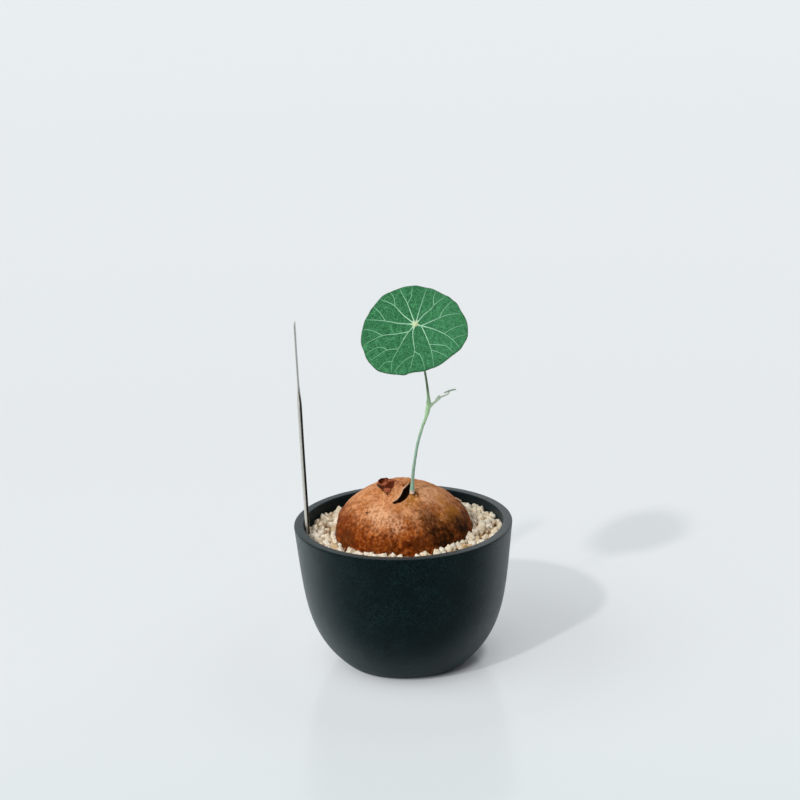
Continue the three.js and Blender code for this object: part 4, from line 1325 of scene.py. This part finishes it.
def build_blade(leaf):
    """The waved blade, a little drawn in along its ribs."""
    on_ribs = [p for route in rib_routes(leaf) for p in route]
    nearest = KDTree(len(on_ribs))
    for number, p in enumerate(on_ribs):
        nearest.insert(p, number)
    nearest.balance()
    rings, sides = 46, 240
    bm = bmesh.new()
    lathe(bm, [(i / rings, 0) for i in range(rings + 1)], sides)
    if bm.faces[:][0].normal.z < 0:
        bmesh.ops.reverse_faces(bm, faces=bm.faces)
    plane = bm.loops.layers.uv.new("leaf_plane")
    out = bm.verts.layers.float.new("out")
    flat = {}
    for vert in bm.verts:
        heading = math.atan2(vert.co.y, vert.co.x)
        part = vert.co.to_2d().length
        spot = polar(part * leaf_edge(leaf, heading), heading)
        away = nearest.find(spot)[2]
        valley = -0.16 * MM * math.exp(-((away / (0.9 * MM)) ** 2)) * smoothstep(part, 0.03, 0.2)
        quilt = relief(spot, 3.2 * MM, 0.16 * MM)
        flat[vert] = spot
        vert[out] = part
        vert.co = leaf_point(leaf, spot.x, spot.y, valley + quilt)
    for face in bm.faces:
        for loop in face.loops:
            spot = flat[loop.vert]
            loop[plane].uv = (0.5 + spot.x / LEAF_MAP, 0.5 + spot.y / LEAF_MAP)
    piece = finished(bm, "leaf_blade", blade_material(leaf), "blade", "leaf")
    thicken(piece, leaf.thickness)
    return piece


def rib_width(leaf, route):
    """The half widths of a rib along and off the blade, at shares of its length."""
    run = route[-1] - route[0]

    def width(t):
        away = clamp((route[0] + run * t).length / leaf.radius)
        half = lerp(0.31, 0.14, away ** 0.6) + 0.2 * smoothstep(away, 0.13, 0.06)
        tip = 1 if t < 0.9 else lerp(1, 0.5, (t - 0.9) / 0.1)
        return half * tip * MM, lerp(0.5, 0.3, away) * MM

    return width


def build_veins(leaf):
    """Raised ribs on both faces of the blade, and the cushion where they meet the stalk."""
    right, up, facing = leaf_axes(leaf)
    bm = bmesh.new()
    reach = bm.verts.layers.float.new("reach")
    for route in rib_routes(leaf):
        path = [leaf_point(leaf, p.x, p.y, -0.02 * MM) for p in route]
        side = (path[-1] - path[0]).cross(facing)
        for vert in tube(bm, path, rib_width(leaf, route), 10, side):
            vert[reach] = clamp((vert.co - HUB).length / leaf.radius)
    axes = [axis * half for axis, half in zip((right, up, facing), CUSHION)]
    bmesh.ops.create_uvsphere(
        bm, u_segments=24, v_segments=14, radius=1,
        matrix=Matrix.Translation(HUB) @ Matrix(axes).transposed().to_4x4(),
    )
    return finished(bm, "leaf_veins", vein_material(leaf), "blade", "leaf")


def build_young_leaf(stem):
    """The small folded leaf at the shoot's tip."""
    material, tree, shader = new_material("Young Blade", Specular_IOR_Level=0.35, Roughness=0.45)
    fine = fine_grain(tree, in_millimetres(tree), 0.6, 0.5)
    drive(tree, shader, Base_Color=mixed(tree, fine["Mask"], stem.bark, stem.tip))
    bump(tree, shader, fine["Height"], 0.1 * MM)
    rings, half_length, half_width = 10, 2.8, 1.4  # the sizes are in mm
    bm = bmesh.new()
    lathe(bm, [(i / rings, 0) for i in range(rings + 1)], 48)
    turn = Matrix.Rotation(math.radians(-16), 4, "Y") @ Matrix.Rotation(math.radians(-12), 4, "X")
    middle = Vector((22.5, -10, 131.2)) * MM
    for vert in bm.verts:
        x, y = vert.co.x, vert.co.y
        width = half_width * y * (1 - 0.25 * x * x)
        vert.co = middle + turn @ Vector((half_length * x, width, 0.12 * abs(y) - 0.2 * x * x)) * MM
    piece = finished(bm, "young_leaf_blade", material, "young_blade", "young_leaf")
    thicken(piece, 0.55 * MM)
    return piece


# ---- Plant marker ----

MARKER_PATH = in_metres([
    (-43.7, 0.6, 52), (-43.9, 1.5, 61.5), (-44.9, 4.4, 100),
    (-45.4, 6.2, 122), (-46, 8.2, 145), (-46.3, 9.2, 159.4),
])


def metal_material(marker):
    """Brushed metal, dull where it enters the bed, with painted shade on its right side."""
    material, tree, shader = new_material("Bare Metal")
    height = parts_of(tree, in_millimetres(tree))["Z"]
    fine = fine_grain(tree, in_millimetres(tree, stretch=(1, 1, 0.04)), 0.16, 0.4)
    paint = layered(
        tree, marker.metal, (ranged(tree, fine["Mask"], 0.6, 0, 0, 0.25), marker.stain),
        (attribute(tree, "painted_shade"), marker.painted_shade),
    )
    drive(
        tree, shader, Base_Color=paint, Metallic=ranged(tree, height, 68, 84, 0, 1),
        Roughness=ranged(tree, fine["Mask"], 0, 1, 0.2, 0.3),
    )
    bump(tree, shader, fine["Height"], 0.02 * MM)
    return material


def build_marker(marker):
    """A pointed round shaft that is flattened into a blade over its upper third."""
    point, half_thickness = 0.45 * MM, 0.36 * MM

    def width(t):
        flat = smoothstep(t, 0.64, 0.76)
        shaft = lerp(point, marker.shaft, clamp(t / 0.06))
        corner = 1 if t < 0.99 else math.sqrt(max(0.05, 1 - ((t - 0.99) / 0.01) ** 2))
        return (
            lerp(shaft, marker.blade, flat) * lerp(0.93, 1, corner),
            lerp(shaft, half_thickness, flat) * corner,
        )

    bm = bmesh.new()
    painted_shade = bm.verts.layers.float.new("painted_shade")
    path, sides = smooth_path(MARKER_PATH, 160), 28
    for number, vert in enumerate(tube(bm, path, width, sides)):
        # The side that faces right gets painted shade, from a little right of the middle on.
        vert[painted_shade] = smoothstep((vert.co - path[number // sides]).x, 0, 0.25 * MM)
    return finished(bm, "marker_body", metal_material(marker), "marker_metal", "plant_marker")


# ---- Hidden pieces ----


def dress_hidden_pieces(bed):
    """Materials for the frame's own soil and drain mesh, which stay as they are."""
    soil_dark = (0.02, 0.012, 0.008, 1)
    net_dark, net_light = (0.03, 0.034, 0.033, 1), (0.05, 0.055, 0.053, 1)
    soil = plain_material("Potting Soil", soil_dark, bed.shade, 1.4, 0.9, 0.95, 0.8)
    net = plain_material("Drain Net", net_dark, net_light, 0.6, 0.4, 0.6, 0.05)
    for node, material in (("soil", soil), ("drain_mesh", net)):
        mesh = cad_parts[node].data
        mesh.materials.clear()
        mesh.materials.append(material)


# ---- Stage ----

# The floor's own faint glow, a painted light, from the table's front to the far backdrop.
FLOOR_GLOW = [
    (0, (0.14, 0.172, 0.182, 1)), (0.045, (0.187, 0.206, 0.217, 1)), (0.08, (0.2, 0.207, 0.22, 1)),
    (0.14, (0.186, 0.191, 0.205, 1)), (0.23, (0.175, 0.179, 0.19, 1)),
    (0.44, (0.175, 0.178, 0.187, 1)), (1, (0.165, 0.17, 0.177, 1)),
]
WINDOW_SIDE = (-0.63, -0.36, 0.69)  # where the bright window is, seen from the pot
SUN_COURSE = Vector((0.46, 0.641, -0.615))
CAMERA_PLACE = Vector((2.11, -900, 398.9)) * MM
CAMERA_ANGLES = (16.953, 0.124, -1.646)  # downwards, to the left and about its own axis


def floor_material(stage):
    """A pale, slightly glossy floor with its own faint glow, which is painted light."""
    material, tree, shader = new_material(
        "Pale Floor", Specular_IOR_Level=0.25, Roughness=0.16, Emission_Strength=1.0,
        Base_Color=stage.floor,
    )
    place = in_millimetres(tree)
    depth = ranged(tree, parts_of(tree, place)["Y"], -200, 2200, shape="LINEAR")
    # The glow stops at the foot as a painted shadow, dark on its right, and rises a little in the
    # ring round it as painted bounced light.
    away = vector_math(tree, "DISTANCE", place, (6, 4, 0), "Value")
    ring = product(tree, ranged(tree, away, 31, 42), ranged(tree, away, 85, 48, 0, 0.24))
    near = product(tree, ranged(tree, away, 27.5, 33), computed(tree, "ADD", ring, 1.0))
    glow = mixed(tree, 1.0, colour_ramp(tree, depth, FLOOR_GLOW), near, "MULTIPLY")
    drive(tree, shader, Emission_Color=glow)
    return material


def build_floor(stage):
    """The plain floor, which runs far past the picture."""
    bm = bmesh.new()
    bmesh.ops.create_grid(bm, x_segments=2, y_segments=2, size=12)
    mesh = bpy.data.meshes.new("floor")
    bm.to_mesh(mesh)
    bm.free()
    mesh.materials.append(floor_material(stage))
    floor = bpy.data.objects.new("floor", mesh)
    bpy.context.scene.collection.objects.link(floor)
    floor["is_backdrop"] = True


def light_the_stage(stage):
    """Soft light from all round, a bright window at the front left, a dim room and a low sun."""
    scene = bpy.context.scene
    scene.view_settings.view_transform = "Standard"
    world = bpy.data.worlds.new("Studio")
    scene.world = world
    world.use_nodes = True
    tree = world.node_tree
    background = tree.nodes["Background"]
    direction = add(tree, "ShaderNodeTexCoord").outputs["Generated"]
    parts = parts_of(tree, direction)
    overhead = ranged(tree, parts["Z"], 0.3, 0.9, 0.95, 0.6)
    room = product(
        tree, ranged(tree, parts["Y"], -0.05, -0.5), ranged(tree, parts["Z"], 0.75, 0.35),
    )
    level = product(tree, overhead, ranged(tree, room, 0, 1, 1, 0.06))
    window = vector_math(tree, "DOT_PRODUCT", direction, WINDOW_SIDE, "Value")
    level = computed(tree, "ADD", level, ranged(tree, window, 0.6, 1, 0, 1.7))
    tree.links.new(product(tree, level, stage.sky_strength), background.inputs["Strength"])
    background.inputs["Color"].default_value = stage.sky
    sun = bpy.data.lights.new("side_light", "SUN")
    sun.energy, sun.angle = stage.sun_strength, math.radians(3)
    holder = bpy.data.objects.new("side_light", sun)
    holder.rotation_mode = "QUATERNION"
    holder.rotation_quaternion = SUN_COURSE.to_track_quat("-Z", "Y")
    scene.collection.objects.link(holder)


def place_camera(stage):
    """The camera of the photographed view."""
    data = bpy.data.cameras.new("camera")
    data.sensor_width, data.lens = 36, stage.lens
    data.clip_start, data.clip_end = 0.01, 100
    camera = bpy.data.objects.new("camera", data)
    pitch, yaw, roll = (math.radians(angle) for angle in CAMERA_ANGLES)
    camera.matrix_world = (
        Matrix.Translation(CAMERA_PLACE)
        @ Matrix.Rotation(yaw, 4, "Z")
        @ Matrix.Rotation(math.pi / 2 - pitch, 4, "X")
        @ Matrix.Rotation(roll, 4, "Z")
    )
    bpy.context.scene.collection.objects.link(camera)
    bpy.context.scene.camera = camera


# ---- Operators, panel and registration ----


class PLANT_OT_pot(bpy.types.Operator):
    """Build the bowl-shaped pot"""
    bl_idname = "plant.pot"
    bl_label = "Pot"

    def execute(self, context):
        build_pot(context.scene.plant.pot)
        return {"FINISHED"}


class PLANT_OT_tuber(bpy.types.Operator):
    """Build the corky tuber and its lifted bark"""
    bl_idname = "plant.tuber"
    bl_label = "Tuber"

    def execute(self, context):
        build_tuber(context.scene.plant.tuber)
        build_bark_curl(context.scene.plant.tuber)
        return {"FINISHED"}


class PLANT_OT_grit(bpy.types.Operator):
    """Build the bed of grit and its loose top grains"""
    bl_idname = "plant.grit"
    bl_label = "Grit"

    def execute(self, context):
        plant = context.scene.plant
        build_bed(plant.bed, plant.pot, plant.tuber)
        build_grains(plant.bed, plant.pot, plant.tuber)
        return {"FINISHED"}


class PLANT_OT_stem(bpy.types.Operator):
    """Build the stem, the leaf's stalk and the side shoot"""
    bl_idname = "plant.stem"
    bl_label = "Stem"

    def execute(self, context):
        plant = context.scene.plant
        build_stem(plant.stem)
        build_stalk(plant.stem, plant.leaf)
        build_shoot(plant.stem)
        return {"FINISHED"}


class PLANT_OT_leaf(bpy.types.Operator):
    """Build the round leaf with its veins and the young leaf"""
    bl_idname = "plant.leaf"
    bl_label = "Leaf"

    def execute(self, context):
        plant = context.scene.plant
        build_blade(plant.leaf)
        build_veins(plant.leaf)
        build_young_leaf(plant.stem)
        return {"FINISHED"}


class PLANT_OT_marker(bpy.types.Operator):
    """Build the metal plant marker"""
    bl_idname = "plant.marker"
    bl_label = "Plant Marker"

    def execute(self, context):
        build_marker(context.scene.plant.marker)
        return {"FINISHED"}


class PLANT_OT_hidden(bpy.types.Operator):
    """Give the soil and the drain mesh their materials"""
    bl_idname = "plant.hidden"
    bl_label = "Soil and Drain Mesh"

    def execute(self, context):
        dress_hidden_pieces(context.scene.plant.bed)
        return {"FINISHED"}


class PLANT_OT_stage(bpy.types.Operator):
    """Set the floor, the lights and the camera"""
    bl_idname = "plant.stage"
    bl_label = "Stage"

    def execute(self, context):
        stage = context.scene.plant.stage
        build_floor(stage)
        light_the_stage(stage)
        place_camera(stage)
        return {"FINISHED"}


OPERATORS = (
    PLANT_OT_pot, PLANT_OT_tuber, PLANT_OT_grit, PLANT_OT_stem,
    PLANT_OT_leaf, PLANT_OT_marker, PLANT_OT_hidden, PLANT_OT_stage,
)


class PLANT_PT_sidebar(bpy.types.Panel):
    """Sizes, colours and building steps of the plant"""
    bl_idname = "PLANT_PT_sidebar"
    bl_label = "Potted Plant"
    bl_space_type = "VIEW_3D"
    bl_region_type = "UI"
    bl_category = "Plant"

    def draw(self, context):
        plant = context.scene.plant
        for operator in OPERATORS:
            self.layout.operator(operator.bl_idname)
        for group in ("pot", "bed", "tuber", "stem", "leaf", "marker", "stage"):
            settings = getattr(plant, group)
            box = self.layout.box()
            box.label(text=group.title())
            for name in settings.__annotations__:
                box.prop(settings, name)


CLASSES = (
    PotSettings, BedSettings, TuberSettings, StemSettings, LeafSettings, MarkerSettings,
    StageSettings, PlantSettings, *OPERATORS, PLANT_PT_sidebar,
)


def register():
    for cls in CLASSES:
        bpy.utils.register_class(cls)
    bpy.types.Scene.plant = PointerProperty(type=PlantSettings)


def unregister():
    del bpy.types.Scene.plant
    for cls in reversed(CLASSES):
        bpy.utils.unregister_class(cls)


def main():
    register()
    for operator in OPERATORS:
        group, name = operator.bl_idname.split(".")
        getattr(getattr(bpy.ops, group), name)()
    boxes = {"cad": CAD_BOX, "visual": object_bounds()}
    {name: [list(corner) for corner in box] for name, box in boxes.items()}


if __name__ == "__main__":
    main()
